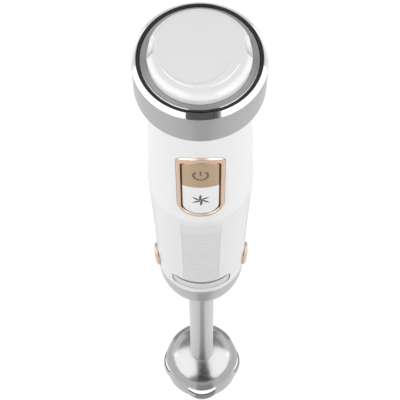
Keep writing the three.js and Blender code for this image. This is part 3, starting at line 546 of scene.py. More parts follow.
WHITE = plastic("white_gloss_plastic", grey(0.72), 0.34, coat=0.1, spread=0.01)
GRIP = plastic("white_grip_plastic", grey(0.66), 0.34, coat=0.1, spread=0.012)
RIBBED = plastic("ribbed_grip_rubber", grey(0.62), 0.55, 1500, 0.03 * MM, spread=0.02)
# painted shade: a darker grey for the faces deep in the rib grooves
GROOVE_PAINTED_SHADE = plastic("rib_groove_painted_shade", grey(0.53), 0.6, 1500, 0.03 * MM, spread=0.02)
BADGE_WHITE = plastic("badge_plastic", grey(0.56), 0.34, spread=0.01)
KNOB_WHITE = plastic("knob_white_plastic", grey(0.82), 0.16, coat=0.5, spread=0.008)
BLACK = plastic("black_gloss_plastic", (0.013, 0.013, 0.015), 0.23, coat=0.05)
SMOKED = plastic("smoked_window_plastic", grey(0.075), 0.12, coat=0.6)
BRUSHED = turned_metal("brushed_steel", grey(0.45), 0.34, 0.8)
COLLAR_STEEL = turned_metal("collar_steel", grey(0.39), 0.34, 0.8)
TUBE_STEEL = turned_metal("satin_tube_steel", grey(0.52), 0.34, 0.85)
CHAMFER_STEEL = turned_metal("bright_cut_steel", grey(0.6), 0.16, 0.5)
DIAL_METAL = turned_metal("spun_grey_metal", grey(0.41), 0.38, 0.6)
POLISHED = metal("polished_steel", grey(0.375), 0.235, (1, 1, 6), 300, 0.02, 0.001 * MM)
EDGE_STEEL = metal("ground_edge_steel", (0.6, 0.6, 0.6), 0.2, (1, 8, 1), 900)
ROSE = metal("rose_gold_satin", (0.47, 0.335, 0.225), 0.36, grain=3000, spread=0.04)
ROSE_BRIGHT = metal("rose_gold_bright", (0.62, 0.44, 0.31), 0.235, grain=3000, spread=0.03)
ROSE_PALE = metal("rose_gold_pale", (0.60, 0.47, 0.37), 0.42, grain=3000, spread=0.03)
# painted shade: a dark rose gold for the bezel's sunk faces in the gap round the buttons
ROSE_SHADED = metal("rose_gold_shaded", (0.26, 0.15, 0.085), 0.5, grain=3000, spread=0.04)
# painted highlight: a pale rose gold for the bezel's upward-facing top rounding
ROSE_PAINTED_HIGHLIGHT = metal("rose_gold_painted_highlight", (0.98, 0.82, 0.68), 0.42, grain=3000, spread=0.03)
BROWN_MARK = plastic("brown_mark", (0.13, 0.07, 0.04), 0.5)
# painted shade: the dark grey line along the top edge of the badge recess
PAINTED_SHADE_LINE = plastic("painted_shade_line", (0.12, 0.12, 0.122), 0.5)
GREY_MARK = plastic("grey_mark", (0.06, 0.06, 0.062), 0.5)
INSULATOR = plastic("dark_insulator", (0.045, 0.048, 0.054), 0.5)
BOARD = plastic("circuit_board", (0.035, 0.11, 0.05), 0.45, 400, 0.03 * MM, spread=0.15)
LAMINATED = metal("electrical_steel", (0.32, 0.33, 0.35), 0.42, (0.01, 0.01, 1), 900, 0.25)
COPPER = metal("wound_copper", (0.62, 0.28, 0.13), 0.34, (0.05, 0.05, 1), 1300, 0.3, 0.05 * MM)
CARBON = plastic("carbon", (0.02, 0.02, 0.02), 0.7, 2500)
RUBBER = plastic("black_rubber", (0.018, 0.018, 0.019), 0.75, 1800, 0.04 * MM)
BRONZE = metal("sintered_bronze", (0.45, 0.32, 0.17), 0.42, grain=2500, spread=0.15)
FILM = plastic("film_capacitor", (0.55, 0.42, 0.06), 0.4, spread=0.05)


def glowing(name, grey, glow):
    """A matt studio surface that gives off an even light of its own."""
    material = plastic(name, (grey, grey, grey), 0.8, 60, 0.01 * MM, spread=0.005)
    shader = material.node_tree.nodes["Principled BSDF"]
    shader.inputs["Emission Color"].default_value = (1, 1, 1, 1)
    shader.inputs["Emission Strength"].default_value = glow
    return material


CARD_BLACK = glowing("black_card", 0.01, 0.05)
CARD_GREY = glowing("grey_card", 0.01, 0.5)
CARD_PALE = glowing("pale_card", 0.01, 0.9)
FLOOR_WHITE = glowing("pale_floor", 0.14, 0.88)

SLOT_LOOKS = {
    "white_plastic": WHITE,
    "grip_plastic": GRIP,
    "brushed_steel": BRUSHED,
    "polished_steel": EDGE_STEEL,
    "rose_gold": ROSE,
    "black_plastic": BLACK,
    "smoked_window": SMOKED,
    "grey_metal": DIAL_METAL,
    "insulator": INSULATOR,
    "circuit_board": BOARD,
    "electrical_steel": LAMINATED,
    "copper": COPPER,
    "carbon": CARBON,
    "rubber": RUBBER,
    "bronze": BRONZE,
    "film_capacitor": FILM,
}


def dress_cad_nodes():
    """Gives every CAD node the procedural look of its material slot."""
    for subpart in frame["record"]["subparts"]:
        mesh = frame["nodes"][subpart["node"]].data
        mesh.materials.clear()
        mesh.materials.append(SLOT_LOOKS[subpart["material_slot"]])


# ---------------- handle


def make_upper_housing():
    bottom = CREASE_Z + SEAM
    foot = [(handle_radius(bottom) - WALL, bottom), (handle_radius(bottom) - EDGE, bottom)]
    skin = [(handle_radius(z), z) for z in steps(bottom + EDGE, NECK_Z, 60)]
    cup = rounded([
        (NECK_RADIUS + 0.6 * MM, NECK_Z + 0.1 * MM, 0),
        (CUP_RADIUS, NECK_Z + 1 * MM, 0.4 * MM),
        (CUP_RADIUS, CUP_TOP, 0.4 * MM),
        (CUP_RADIUS - WALL, CUP_TOP, 0.4 * MM),
        (CUP_RADIUS - WALL, NECK_Z + 3.4 * MM, 1 * MM),
        (NECK_RADIUS - WALL, NECK_Z, 0),
    ])
    inside = [(handle_radius(z) - WALL, z) for z in steps(NECK_Z - MM, bottom + MM, 12)]
    housing = new_object("upper_shell", turned([*foot, *skin, *cup, *inside], 240))

    opening = pad(bezel_outline(EDGE), [(0, -5 * MM), (0, 4 * MM)])
    gland_hole = GLAND_RADIUS + GAP
    hole = turned_to_rear(turned_solid([(gland_hole, 15 * MM), (gland_hole, 45 * MM)], 64))
    cut(housing, new_object("cutter", opening), new_object("cutter", hole))
    piece(housing, "motor_unit", "white_plastic", WHITE, "upper_housing")


# the ribbed strip down the front of the lower housing
STRIP_DEGREES = 24
STRIP_ANGLE = radians(STRIP_DEGREES)
STRIP_TOP = CREASE_Z - 5 * MM
STRIP_BOTTOM = HANDLE_BOTTOM + 17 * MM
STRIP_DEPTH = 0.12 * MM
STRIP_EDGE = 0.8 * MM
STRIP_EDGE_ANGLE = radians(0.9)
RIB_PITCH = 3.2 * MM
RIB_DEPTH = 0.42 * MM
RIB_GROWTH = 30 * MM  # how far down the strip the ribs reach their full depth
ROWS_PER_RIB = 8


def strip_mask(angle, z):
    """1 inside the ribbed strip, running down to 0 at its edges."""
    side = smoothstep((STRIP_ANGLE - abs(angle)) / STRIP_EDGE_ANGLE)
    end = smoothstep((z - STRIP_BOTTOM) / STRIP_EDGE) * smoothstep((STRIP_TOP - z) / STRIP_EDGE)
    return side * end


def rib_depth(z):
    """How deep the ribs' wave goes at a height, as a share that grows down the strip."""
    ribs = 0.5 - 0.5 * cos(tau * (STRIP_TOP - z) / RIB_PITCH)
    return ribs * (0.35 + 0.65 * smoothstep((STRIP_TOP - z) / RIB_GROWTH))


def grip_rows():
    """(offset, z, is_outside) rows of points up the grip's outside and down its inside."""
    top = CREASE_Z - SEAM
    rim = 0.6 * MM
    rows = [(-WALL, HANDLE_BOTTOM, False)]
    rows += [
        (-rim * (1 - sin(a)), HANDLE_BOTTOM + rim * (1 - cos(a)), True)
        for a in steps(0, pi / 2, 6)
    ]
    rows += [(0, z, True) for z in steps(HANDLE_BOTTOM + rim, STRIP_BOTTOM - MM, 14)[1:]]
    rib_rows = round((STRIP_TOP - STRIP_BOTTOM + 2 * MM) / (RIB_PITCH / ROWS_PER_RIB))
    rows += [(0, z, True) for z in steps(STRIP_BOTTOM - MM, STRIP_TOP + MM, rib_rows)[1:]]
    rows += [(0, z, True) for z in steps(STRIP_TOP + MM, top - EDGE, 6)[1:]]
    rows += [(-EDGE, top, True), (-WALL, top, False)]
    rows += [(-WALL, z, False) for z in steps(top, HANDLE_BOTTOM, 14)[1:-1]]
    return rows


def grip_angles():
    """Angles round the grip, close together only at the sides of the ribbed strip."""
    strip_side = [STRIP_DEGREES - 1.2 + 0.3 * i for i in range(6)]
    smooth_side = [STRIP_DEGREES + 2 + 2.5 * i for i in range(62)]
    half = [*range(0, 21, 2), 21.5, *strip_side, *smooth_side]
    degrees = [-d for d in reversed(half[1:])] + half + [180]
    return [radians(d) for d in degrees]


def grip_look(face):
    """0 on the smooth grip, 1 on the ribs and 2 in the grooves between them, which get a darker grey as
    painted shade.
    """
    x, y, z = face.center
    outside = hypot(x, y) > handle_radius(z) - MM
    if outside and strip_mask(atan2(x, -y), z) > 0.5:
        # the deep faces of the grooves take the painted shade
        return 2 if rib_depth(z) > 0.5 else 1
    return 0


def make_lower_housing():
    loops = []
    for offset, z, outside in grip_rows():
        loop = []
        for angle in grip_angles():
            radius = handle_radius(z) + offset
            if outside:
                radius -= strip_mask(angle, z) * (STRIP_DEPTH + RIB_DEPTH * rib_depth(z))
            loop.append(around(radius, angle, z))
        loops.append(loop)
    housing = new_object("lower_shell", loft(loops, closed=True))

    cutters = [new_object("cutter", badge_pad(0, [(0, -1.2 * MM), (0, 3 * MM)]))]
    for side in (-1, 1):
        hole = release_pad(RELEASE_GAP, [(0, -8 * MM), (0, 6 * MM)])
        cutters.append(new_object("cutter", turned_about_z(hole, side * RELEASE_ANGLE)))
    cut(housing, *cutters)

    paint(housing, (GRIP, RIBBED, GROOVE_PAINTED_SHADE), grip_look)
    piece(housing, "motor_unit", "grip_plastic", GRIP, "lower_housing")


BADGE_HALF_WIDTH = high("badge_plate").x + GAP
BADGE_TOP = high("badge_plate").z + 1.3 * MM
BADGE_BOTTOM = low("badge_plate").z + 1.3 * MM
BADGE_CORNER = 2.5 * MM
BADGE_SUNK = 0.5 * MM
BADGE_LINE_HALF_WIDTH = 1.6 * MM
BADGE_LINE_TAPER = 3 * MM


def badge_pad(inset, section):
    """A pad with round corners in the place of the badge."""
    outline = panel_outline(
        BADGE_HALF_WIDTH - inset,
        BADGE_BOTTOM + inset,
        BADGE_TOP - inset,
        BADGE_CORNER,
        BADGE_CORNER,
        edge_steps=24,
    )
    return pad(outline, section)


def make_badge_plate():
    """A blank plate, and a grey line with narrow ends along its upper edge, painted shade where the
    recess's top edge lies in shadow.
    """
    section = [(0, -1.15 * MM), (0, -BADGE_SUNK - EDGE), (EDGE, -BADGE_SUNK)]
    plate = new_object("badge_inlay", badge_pad(GAP, section))
    piece(plate, "motor_unit", "white_plastic", BADGE_WHITE, "badge_plate")

    reach = BADGE_HALF_WIDTH - BADGE_LINE_HALF_WIDTH
    line_z = BADGE_TOP - 2.2 * MM
    path, widths = [], []
    for x in steps(-reach, reach, 60):
        path.append((x, line_z))
        taper = min(1, 0.3 + 0.7 * (reach - abs(x)) / BADGE_LINE_TAPER)
        widths.append(BADGE_LINE_HALF_WIDTH * taper)
    line = ribbon(path, widths, -BADGE_SUNK - 0.25 * MM, -BADGE_SUNK + 0.1 * MM)
    piece(new_object("badge_painted_shade_line", line), "motor_unit", "white_plastic", PAINTED_SHADE_LINE)


def make_cord_gland():
    """A grommet with a rounded flange, a groove in its face and a bore."""
    inside = 20.5 * MM
    face = high("cord_gland").y
    back = face - 2.4 * MM
    groove = face - 0.6 * MM
    flange = (high("cord_gland").z - low("cord_gland").z) / 2
    bore = 3.8 * MM
    outline = rounded([
        (bore, inside, 0),
        (GLAND_RADIUS, inside, 0.3 * MM),
        (GLAND_RADIUS, back, 0),
        (flange, back, 0.3 * MM),
        (flange, face, 1.2 * MM),
        (6.6 * MM, face, 0.2 * MM),
        (6.4 * MM, groove, 0.1 * MM),
        (6.1 * MM, groove, 0.1 * MM),
        (5.9 * MM, face, 0.2 * MM),
        (bore, face, 0.7 * MM),
    ])
    grommet = new_object("cord_grommet", turned_to_rear(turned(outline, 64)))
    piece(grommet, "motor_unit", "black_plastic", BLACK, "cord_gland")


# ---------------- button panel

BUTTON_CLEARANCE = 0.75 * MM
LEDGE = 0.58 * MM  # how far the bezel reaches in below the gap round the buttons
BEZEL_FOOT = -2.2 * MM
BEZEL_SIDE = 0.1 * MM
BEZEL_CREST = 1.05 * MM


def bezel_look(face):
    """1 below the skin, with a dark painted shade for the sunk faces; 2 where it faces up, with a pale
    painted highlight; and 0 elsewhere.
    """
    x, y, z = face.center
    if handle_radius(z) - hypot(x, y) > 0.3 * MM:
        return 1
    return 2 if face.normal.z > 0.45 else 0


def make_bezel():
    """A raised frame with a ledge inside.

    Its section is in shares of the way in from the frame's outer edge to its inner edge, and
    in lifts off the skin: up the outside, over the crest and down to the ledge.
    """
    section = [(0, BEZEL_FOOT), (0, BEZEL_SIDE)]
    section += [
        (0.5 * (1 - cos(a)), BEZEL_SIDE + (BEZEL_CREST - BEZEL_SIDE) * sin(a))
        for a in steps(0, pi / 2, 9)[1:]
    ]
    section += [
        (0.8 + 0.2 * sin(a), BEZEL_CREST - 0.7 * MM * (1 - cos(a)))
        for a in steps(0, pi / 2, 5)
    ]
    section += [(1, 0.2 * MM), (1, -0.8 * MM)]
    loops = []
    for share, lift in section:
        loops.append([
            on_skin(a[0] + (b[0] - a[0]) * share, a[1] + (b[1] - a[1]) * share, lift)
            for a, b in zip(bezel_outline(), well_outline())
        ])
    loops += [[on_skin(x, z, lift) for x, z in well_outline(LEDGE)] for lift in (-0.9 * MM, BEZEL_FOOT)]
    bezel = new_object("panel_bezel", loft(loops, closed=True))
    paint(bezel, (ROSE_BRIGHT, ROSE_SHADED, ROSE_PAINTED_HIGHLIGHT), bezel_look)
    piece(bezel, "motor_unit", "rose_gold", ROSE_BRIGHT, "button_bezel")


BUTTON_LIFT = 0.55 * MM
BUTTON_SECTION = edge_section(2.9 * MM, BUTTON_LIFT, 0.4 * MM)
SPLIT_GAP = 0.1 * MM  # from each button to the line between them
SPLIT_CORNER = 0.5 * MM
MARK_BOTTOM = BUTTON_LIFT - 0.25 * MM
MARK_TOP = BUTTON_LIFT + 0.06 * MM


def make_power_button():
    """A rose-gold cap with the generic power sign: an open ring and a bar."""
    outline = panel_outline(
        WELL_HALF_WIDTH - BUTTON_CLEARANCE,
        SPLIT_Z + SPLIT_GAP,
        WELL_TOP - BUTTON_CLEARANCE,
        SPLIT_CORNER,
        WELL_TOP_CORNER,
        arch=WELL_ARCH,
    )
    cap = new_object("power_cap", pad(outline, BUTTON_SECTION))
    piece(cap, "power_key", "rose_gold", ROSE, "power_button")

    centre_z = (SPLIT_Z + WELL_TOP) / 2 - 0.2 * MM
    radius = 3.7 * MM
    arc = [
        (radius * sin(a), centre_z + radius * 1.15 * cos(a))
        for a in steps(radians(40), radians(320), 40)
    ]
    bar = [(0, z) for z in steps(centre_z + 0.2 * MM, centre_z + 4.4 * MM, 6)]
    mark = merged([
        ribbon(arc, [0.72 * MM] * len(arc), MARK_BOTTOM, MARK_TOP),
        ribbon(bar, [0.55 * MM] * len(bar), MARK_BOTTOM, MARK_TOP),
    ])
    piece(new_object("power_mark", mark), "power_key", "rose_gold", BROWN_MARK)


def make_turbo_button():
    """A white cap with a plain star of six curved blades, each a hair above the one before."""
    outline = panel_outline(
        WELL_HALF_WIDTH - BUTTON_CLEARANCE,
        WELL_BOTTOM + BUTTON_CLEARANCE,
        SPLIT_Z - SPLIT_GAP,
        WELL_BOTTOM_CORNER - BUTTON_CLEARANCE,
        SPLIT_CORNER,
    )
    cap = new_object("turbo_cap", pad(outline, BUTTON_SECTION))
    piece(cap, "turbo_key", "white_plastic", WHITE, "turbo_button")

    centre_z = (SPLIT_Z + WELL_BOTTOM) / 2 + 1.2 * MM
    reach = 5.6 * MM
    reach_across = reach * 0.87
    blades = []
    for i in range(6):
        direction = tau * i / 6 + pi / 2
        path, widths = [], []
        for t in steps(0.05, 1, 10):
            angle = direction + 0.45 * (1 - t) ** 2
            path.append((reach_across * t * cos(angle), centre_z + reach * t * sin(angle)))
            widths.append(0.18 * MM + 0.58 * MM * sin(pi * t) ** 0.8)
        blades.append(ribbon(path, widths, MARK_BOTTOM, MARK_TOP + i * 0.002 * MM))
    piece(new_object("turbo_mark", merged(blades)), "turbo_key", "white_plastic", GREY_MARK)


# ---------------- side release buttons

RELEASE_OUTER = 28 * MM
RELEASE_HALF_WIDTH = 5.5 * MM
RELEASE_HALF_HEIGHT = 8.5 * MM
RELEASE_GAP = 0.25 * MM
RELEASE_SECTION = edge_section(4.6 * MM, -0.35 * MM, 0.9 * MM)

# the bar behind each cap, and the radii that it runs through
BAR_RADII = (17.2 * MM, 18 * MM, 24.5 * MM)
BAR_SECTION = [
    (x * 3.5 * MM, z * 3 * MM)
    for x, z in ((-1, -0.8), (-0.8, -1), (0.8, -1), (1, -0.8), (1, 0.8), (0.8, 1), (-0.8, 1), (-1, 0.8))
]


def on_release_face(x, z, lift):
    radius = RELEASE_OUTER + lift
    return Vector((x, -sqrt(radius * radius - x * x), z))


def release_pad(margin, section, crown=0.0):
    """An upright oval pad at the front, to be turned to its side."""
    half_width = RELEASE_HALF_WIDTH + margin
    half_height = RELEASE_HALF_HEIGHT + margin
    corner = half_width * 0.98
    bottom, top = RELEASE_Z - half_height, RELEASE_Z + half_height
    outline = panel_outline(half_width, bottom, top, corner, corner)
    return pad(outline, section, on_release_face, crown=crown)


def make_release_buttons():
    for side, place in ((-1, "left"), (1, "right")):
        cap = release_pad(0, RELEASE_SECTION, crown=0.3 * MM)
        bar = loft([
            [Vector((x, -radius, RELEASE_Z + z)) for x, z in BAR_SECTION] for radius in BAR_RADII
        ])
        data = turned_about_z(merged([cap, bar]), side * RELEASE_ANGLE)
        button = new_object(f"release_cap_{place}", data)
        piece(button, f"release_{place}", "rose_gold", ROSE_PALE, f"release_button_{place}")


# ---------------- collar, rings and dial


def window_block(grow):
    """The part of the chamfer that the indicator window fills, with rounded lower corners."""
    half_angle = (WINDOW_HALF_WIDTH + grow) / (COLLAR_RADIUS - CHAMFER_WIDTH / 2)
    corner = 1.1 * MM
    loops = []
    for angle in steps(-half_angle, half_angle, 48):
        from_end = (half_angle - abs(angle)) * COLLAR_RADIUS
        rise = 0.0
        if from_end < corner:
            rise = 0.8 * (corner - sqrt(corner**2 - (corner - from_end) ** 2))
        foot_r = COLLAR_RADIUS + grow - (CHAMFER_WIDTH + grow) * rise / CHAMFER_RISE
        foot_z = COLLAR_EDGE_Z - grow + rise
        section = [
            (foot_r, foot_z),
            (CHAMFER_INNER + grow, CHAMFER_TOP + grow),
            (CHAMFER_INNER - 0.8 * MM - grow, CHAMFER_TOP + grow),
            (foot_r - 2.6 * MM, foot_z),
        ]
        loops.append([around(r, angle, z) for r, z in section])
    return loft(loops)


def make_collar():
    bore = COLLAR_RADIUS - 2.05 * MM
    seat = TRIM_BOTTOM - GAP
    outline = rounded([
        (bore, COLLAR_BOTTOM, 0.2 * MM),
        (COLLAR_RADIUS - 0.25 * MM, COLLAR_BOTTOM, 0.35 * MM),
        (COLLAR_RADIUS, COLLAR_EDGE_Z, 0.25 * MM),
        (CHAMFER_INNER, CHAMFER_TOP, 0.1 * MM),
        (CHAMFER_INNER - 0.03 * MM, seat, 0),
        (bore, seat - 0.5 * MM, 0),
    ])
    collar = new_object("steel_collar", turned(outline, 288))
    cut(collar, new_object("cutter", window_block(0.08 * MM)))
    paint(
        collar,
        (COLLAR_STEEL, CHAMFER_STEEL),
        lambda face: int(face.normal.z > 0.45 and face.center.z > COLLAR_EDGE_Z),
    )
    piece(collar, "motor_unit", "brushed_steel", COLLAR_STEEL, "top_collar")

    lens = new_object("window_lens", window_block(-0.05 * MM))
    piece(lens, "motor_unit", "smoked_window", SMOKED, "indicator_window")


def make_trim_ring():
    inner = SKIRT_RADIUS + 0.12 * MM
    outer = CHAMFER_INNER - 0.08 * MM
    top = CHAMFER_TOP - 0.05 * MM
    outline = rounded([
        (inner, TRIM_BOTTOM, 0),
        (outer, TRIM_BOTTOM, 0),
        (outer, top, 0.25 * MM),
        (inner, top, 0.35 * MM),
    ])
    ring = new_object("black_trim", turned(outline, 256))
    piece(ring, "motor_unit", "black_plastic", BLACK, "trim_ring")


def make_dial_skirt():
    """A thin plate under the knob with a ring round it, whose narrow chamfer is bright."""
    bore = 3.8 * MM
    plate = SKIRT_BOTTOM + 1.1 * MM
    seat = KNOB_RADIUS + 0.2 * MM
    chamfer = 0.45 * MM
    outline = rounded([
        (bore, SKIRT_BOTTOM, 0),
        (SKIRT_RADIUS, SKIRT_BOTTOM, 0),
        (SKIRT_RADIUS, SKIRT_TOP - chamfer, 0.05 * MM),
        (SKIRT_RADIUS - chamfer, SKIRT_TOP, 0.05 * MM),
        (seat, SKIRT_TOP - 0.35 * MM, 0.1 * MM),
        (seat, plate, 0),
        (bore, plate, 0),
    ])
    skirt = new_object("dial_skirt_ring", turned(outline, 256))
    paint(skirt, (DIAL_METAL, CHAMFER_STEEL), lambda face: int(0.3 < face.normal.z < 0.9))
    piece(skirt, "speed_dial", "grey_metal", DIAL_METAL, "dial_skirt")


SCOOP_RADIUS = 10.1 * MM
SCOOP_CENTRE = Vector((KNOB_RADIUS + 5.6 * MM, 4.4 * MM, KNOB_TOP + 2 * MM))
SCOOP_BLEND = 0.35 * MM
WEDGE_START = radians(-70)
WEDGE_END = radians(69)
WEDGE_OUTER = 19.7 * MM
WEDGE_LIFT = 0.4 * MM
WEDGE_SIDE = 0.35 * MM  # width of its sloping sides


def soft_lower(a, b, blend):
    """The lower of two heights, with a soft blend where they cross."""
    share = smoothstep(0.5 + (b - a) / (2 * blend))
    return b + (a - b) * share - 0.25 * blend * share * (1 - share)


def knob_height(x, y, z):
    """Height of a knob point after the finger scoops are pressed in."""
    for side in (-1, 1):
        dx = x - side * SCOOP_CENTRE.x
        dy = y - SCOOP_CENTRE.y
        inside = SCOOP_RADIUS**2 - dx * dx - dy * dy
        if inside > 0:
            z = soft_lower(z, SCOOP_CENTRE.z - sqrt(inside), SCOOP_BLEND)
    return max(z, KNOB_BOTTOM)


def wedge_mask(radius, angle):
    """1 on the raised speed wedge: a crescent that thickens from left to right."""
    along_share = (angle - WEDGE_START) / (WEDGE_END - WEDGE_START)
    if not -0.02 < along_share < 1.02:
        return 0.0
    width = (0.5 + 4.6 * max(along_share, 0) ** 1.3) * MM
    inner = smoothstep((radius - WEDGE_OUTER + width) / WEDGE_SIDE)
    outer = smoothstep((WEDGE_OUTER - radius) / WEDGE_SIDE)
    end = smoothstep((WEDGE_END - angle) * radius / WEDGE_SIDE)
    tip = smoothstep((angle - WEDGE_START) * radius / WEDGE_SIDE)
    return inner * outer * end * tip


def make_knob():
    """A flat cap with a rounded edge, two finger scoops and the wedge on its top."""
    rounding = 3.2 * MM
    crown = 0.4 * MM
    shoulder = KNOB_TOP - crown - rounding
    sides = 360
    outline = [(r, KNOB_BOTTOM) for r in steps(0.5 * MM, KNOB_RADIUS - 0.3 * MM, 4)]
    outline += [(KNOB_RADIUS, z) for z in steps(KNOB_BOTTOM + 0.3 * MM, shoulder, 8)]
    outline += [
        (KNOB_RADIUS - rounding * (1 - cos(a)), shoulder + rounding * sin(a))
        for a in steps(0, pi / 2, 12)[1:]
    ]
    # rings close together out where the scoops and the wedge are
    edge = KNOB_RADIUS - rounding
    top = [edge * s for s in steps(1, 0.62, 34)[1:]] + [edge * s for s in steps(0.62, 0.02, 14)[1:]]
    outline += [(r, KNOB_TOP - crown * (r / edge) ** 2) for r in top]
    loops = []
    for r, z in outline:
        loop = []
        for i in range(sides):
            angle = tau * i / sides - pi
            x, y = r * sin(angle), -r * cos(angle)
            lift = WEDGE_LIFT * wedge_mask(r, angle) if z > shoulder + rounding * 0.9 else 0
            loop.append(Vector((x, y, knob_height(x, y, z + lift))))
        loops.append(loop)
    knob = new_object("dial_cap", loft(loops))
    piece(knob, "speed_dial", "white_plastic", KNOB_WHITE, "dial_knob")


# ---------------- blending shaft


FERRULE_NECK = TUBE_RADIUS + 0.05 * MM
FERRULE_CURVE = 2.6  # 2 is an ellipse, higher is fuller


def ferrule_radius(z, offset):
    """The bowl's line, closing in on the tube."""
    down = min((FERRULE_TOP - z) / (FERRULE_TOP - FERRULE_BOTTOM), 1)
    reach = (1 - down**FERRULE_CURVE) ** (1 / FERRULE_CURVE)
    return FERRULE_NECK + (FERRULE_RADIUS - FERRULE_NECK - offset) * reach


def make_ferrule():
    heights = [
        FERRULE_TOP - (FERRULE_TOP - FERRULE_BOTTOM) * sin(a)
        for a in steps(0, pi / 2, 40)
    ]
    outside = [(ferrule_radius(z, 0), z) for z in heights]
    outside[0] = (FERRULE_RADIUS - 0.25 * MM, FERRULE_TOP)
    outside.insert(1, (FERRULE_RADIUS, FERRULE_TOP - 0.25 * MM))
    inside = [(ferrule_radius(z, SHEET), z + SHEET) for z in heights[1:-1]]
    inside = [point for point in inside if point[1] < FERRULE_TOP]
    inside.insert(0, (inside[0][0], FERRULE_TOP))
    lip = [(FERRULE_NECK, FERRULE_BOTTOM + SHEET)]
    bowl = new_object("ferrule_bowl", turned([*outside, *lip, *reversed(inside)], 224))
    piece(bowl, "blending_shaft", "brushed_steel", BRUSHED, "shaft_ferrule")


def make_tube():
    foot = TUBE_BOTTOM - 0.25 * MM
    outline = rounded([
        (TUBE_BORE, foot, 0),
        (TUBE_RADIUS, foot, 0.15 * MM),
        (TUBE_RADIUS, TUBE_TOP, 0.3 * MM),
        (TUBE_BORE, TUBE_TOP, 0),
    ])
    tube = new_object("shaft_sleeve", turned(outline, 128))
    piece(tube, "blending_shaft", "brushed_steel", TUBE_STEEL, "shaft_tube")


DOME_SHOULDER = 2.4  # higher is fuller at the shoulder
DOME_SLOPE = 1.45  # lower is steeper next to the tube
GUARD_BORE = 3 * MM
HUB_HEIGHT = 8.4 * MM
SLOT_HALF_WIDTH = 10 * MM
SLOT_BOTTOM = 8.3 * MM
SLOT_TOP = 14.3 * MM
SLOT_CORNER = 1.4 * MM


def guard_flare(angle, z):
    """How far the bell widens towards its rim, most of all at its four corners."""
    down = smoothstep((SHOULDER_Z + 9 * MM - z) / (20 * MM))
    return down * (RIM_FLARE + CORNER_FLARE * max(0.0, cos(4 * angle)))


def dome_line(offset, count):
    """(r, z) points from the tube over the dome to the shoulder."""
    line = []
    for a in steps(0, pi / 2, count):
        up = cos(a)
        reach = (1 - up**DOME_SHOULDER) ** (1 / DOME_SLOPE)
        z = SHOULDER_Z + (GUARD_TOP - SHOULDER_Z) * up - offset * up
        line.append((TUBE_BORE + (GUARD_RADIUS - TUBE_BORE - offset) * reach, z))
    return line


def make_guard():
    """A thin bell with four slots, and the hub inside that holds the drive shaft's bushing."""
    rim = 0.35 * MM
    hub_bottom = GUARD_TOP - HUB_HEIGHT
    skirt = steps(SHOULDER_Z, rim, 18)[1:]
    outline = [(GUARD_BORE, GUARD_TOP), *dome_line(0, 30)]
    outline += [(GUARD_RADIUS, z) for z in skirt]
    outline += [(GUARD_RADIUS - rim, 0), (GUARD_RADIUS - SHEET + rim, 0)]
    outline += [(GUARD_RADIUS - SHEET, z) for z in reversed(skirt)]
    outline += list(reversed(dome_line(SHEET, 30)[1:]))
    outline += [(TUBE_BORE, hub_bottom), (GUARD_BORE, hub_bottom)]
    sides = 256
    loops = []
    for r, z in outline:
        loop = []
        for i in range(sides):
            angle = tau * i / sides
            radius = r + (guard_flare(angle, z) if r > TUBE_RADIUS else 0)
            loop.append(around(radius, angle, z))
        loops.append(loop)
    guard = new_object("guard_bell", loft(loops, closed=True))

    slot_outline = panel_outline(SLOT_HALF_WIDTH, SLOT_BOTTOM, SLOT_TOP, SLOT_CORNER, SLOT_CORNER)
    cutters = []
    for i in range(4):
        slot = loft([[Vector((x, y, z)) for x, z in slot_outline] for y in (-19 * MM, -40 * MM)])
        cutters.append(new_object("cutter", turned_about_z(slot, i * pi / 2)))
    cut(guard, *cutters)
    piece(guard, "blending_shaft", "polished_steel", POLISHED, "blade_guard")


BLADE_BORE = 2.8 * MM
BLADE_HUB_RADIUS = 4.6 * MM
BLADE_ROOT = 3.4 * MM
BLADE_REACH = 17.3 * MM
BLADE_BENDS = (12, -6, 12, -6)  # degrees upwards, wing by wing


def make_blade():
    """Four sharpened wings on a hub, bent up and down in turn, and the nut below them."""
    hub_bottom = high("blade_nut").z + GAP
    hub_top = hub_bottom + 3.1 * MM
    centre_z = hub_bottom + 1.5 * MM
    hub_outline = rounded([
        (BLADE_BORE, hub_bottom, 0),
        (BLADE_HUB_RADIUS, hub_bottom, 0.3 * MM),
        (BLADE_HUB_RADIUS, hub_top, 0.6 * MM),
        (BLADE_BORE, hub_top, 0),
    ])
    hub = turned(hub_outline, 64)
    wings = []
    for i, bend in enumerate(BLADE_BENDS):
        loops = []
        for t in steps(0, 1, 14):
            reach = BLADE_ROOT + (BLADE_REACH - BLADE_ROOT) * t
            lead = (-3.3 + 1.2 * t + 2.4 * max(0, t - 0.8) / 0.2) * MM
            trail = (3.3 - 1.6 * t - 1.5 * max(0, t - 0.55) / 0.45) * MM
            trail = max(trail, lead + 0.3 * MM)
            middle = (lead + trail) / 2
            section = ((lead, 0), (middle, 0.6 * MM), (trail, 0), (middle, -0.5 * MM))
            loops.append([Vector((reach, across, up)) for across, up in section])
        wing = loft(loops)
        tilt = Matrix.Rotation(-radians(bend), 4, "Y")
        turn = Matrix.Rotation(i * pi / 2, 4, "Z")
        lift = Matrix.Translation((0, 0, centre_z))
        wings.append(([lift @ turn @ tilt @ point for point in wing[0]], wing[1]))
    blade = new_object("blade_wings", merged([hub, *wings]))
    piece(blade, "blade_drive", "polished_steel", EDGE_STEEL, "blade")

    nut_bottom, nut_top = low("blade_nut").z, high("blade_nut").z
    bore = 2.6 * MM
    radius = 4.5 * MM
    nut_outline = [
        (bore, nut_top),
        (radius * 0.93, nut_top),
        (radius, nut_top - 0.3 * MM),
        (radius, nut_bottom + 0.4 * MM),
        (radius * 0.9, nut_bottom),
        (bore, nut_bottom),
    ]
    nut = new_object("blade_lock_nut", turned(nut_outline, 6))
    piece(nut, "blade_drive", "polished_steel", EDGE_STEEL, "blade_nut")


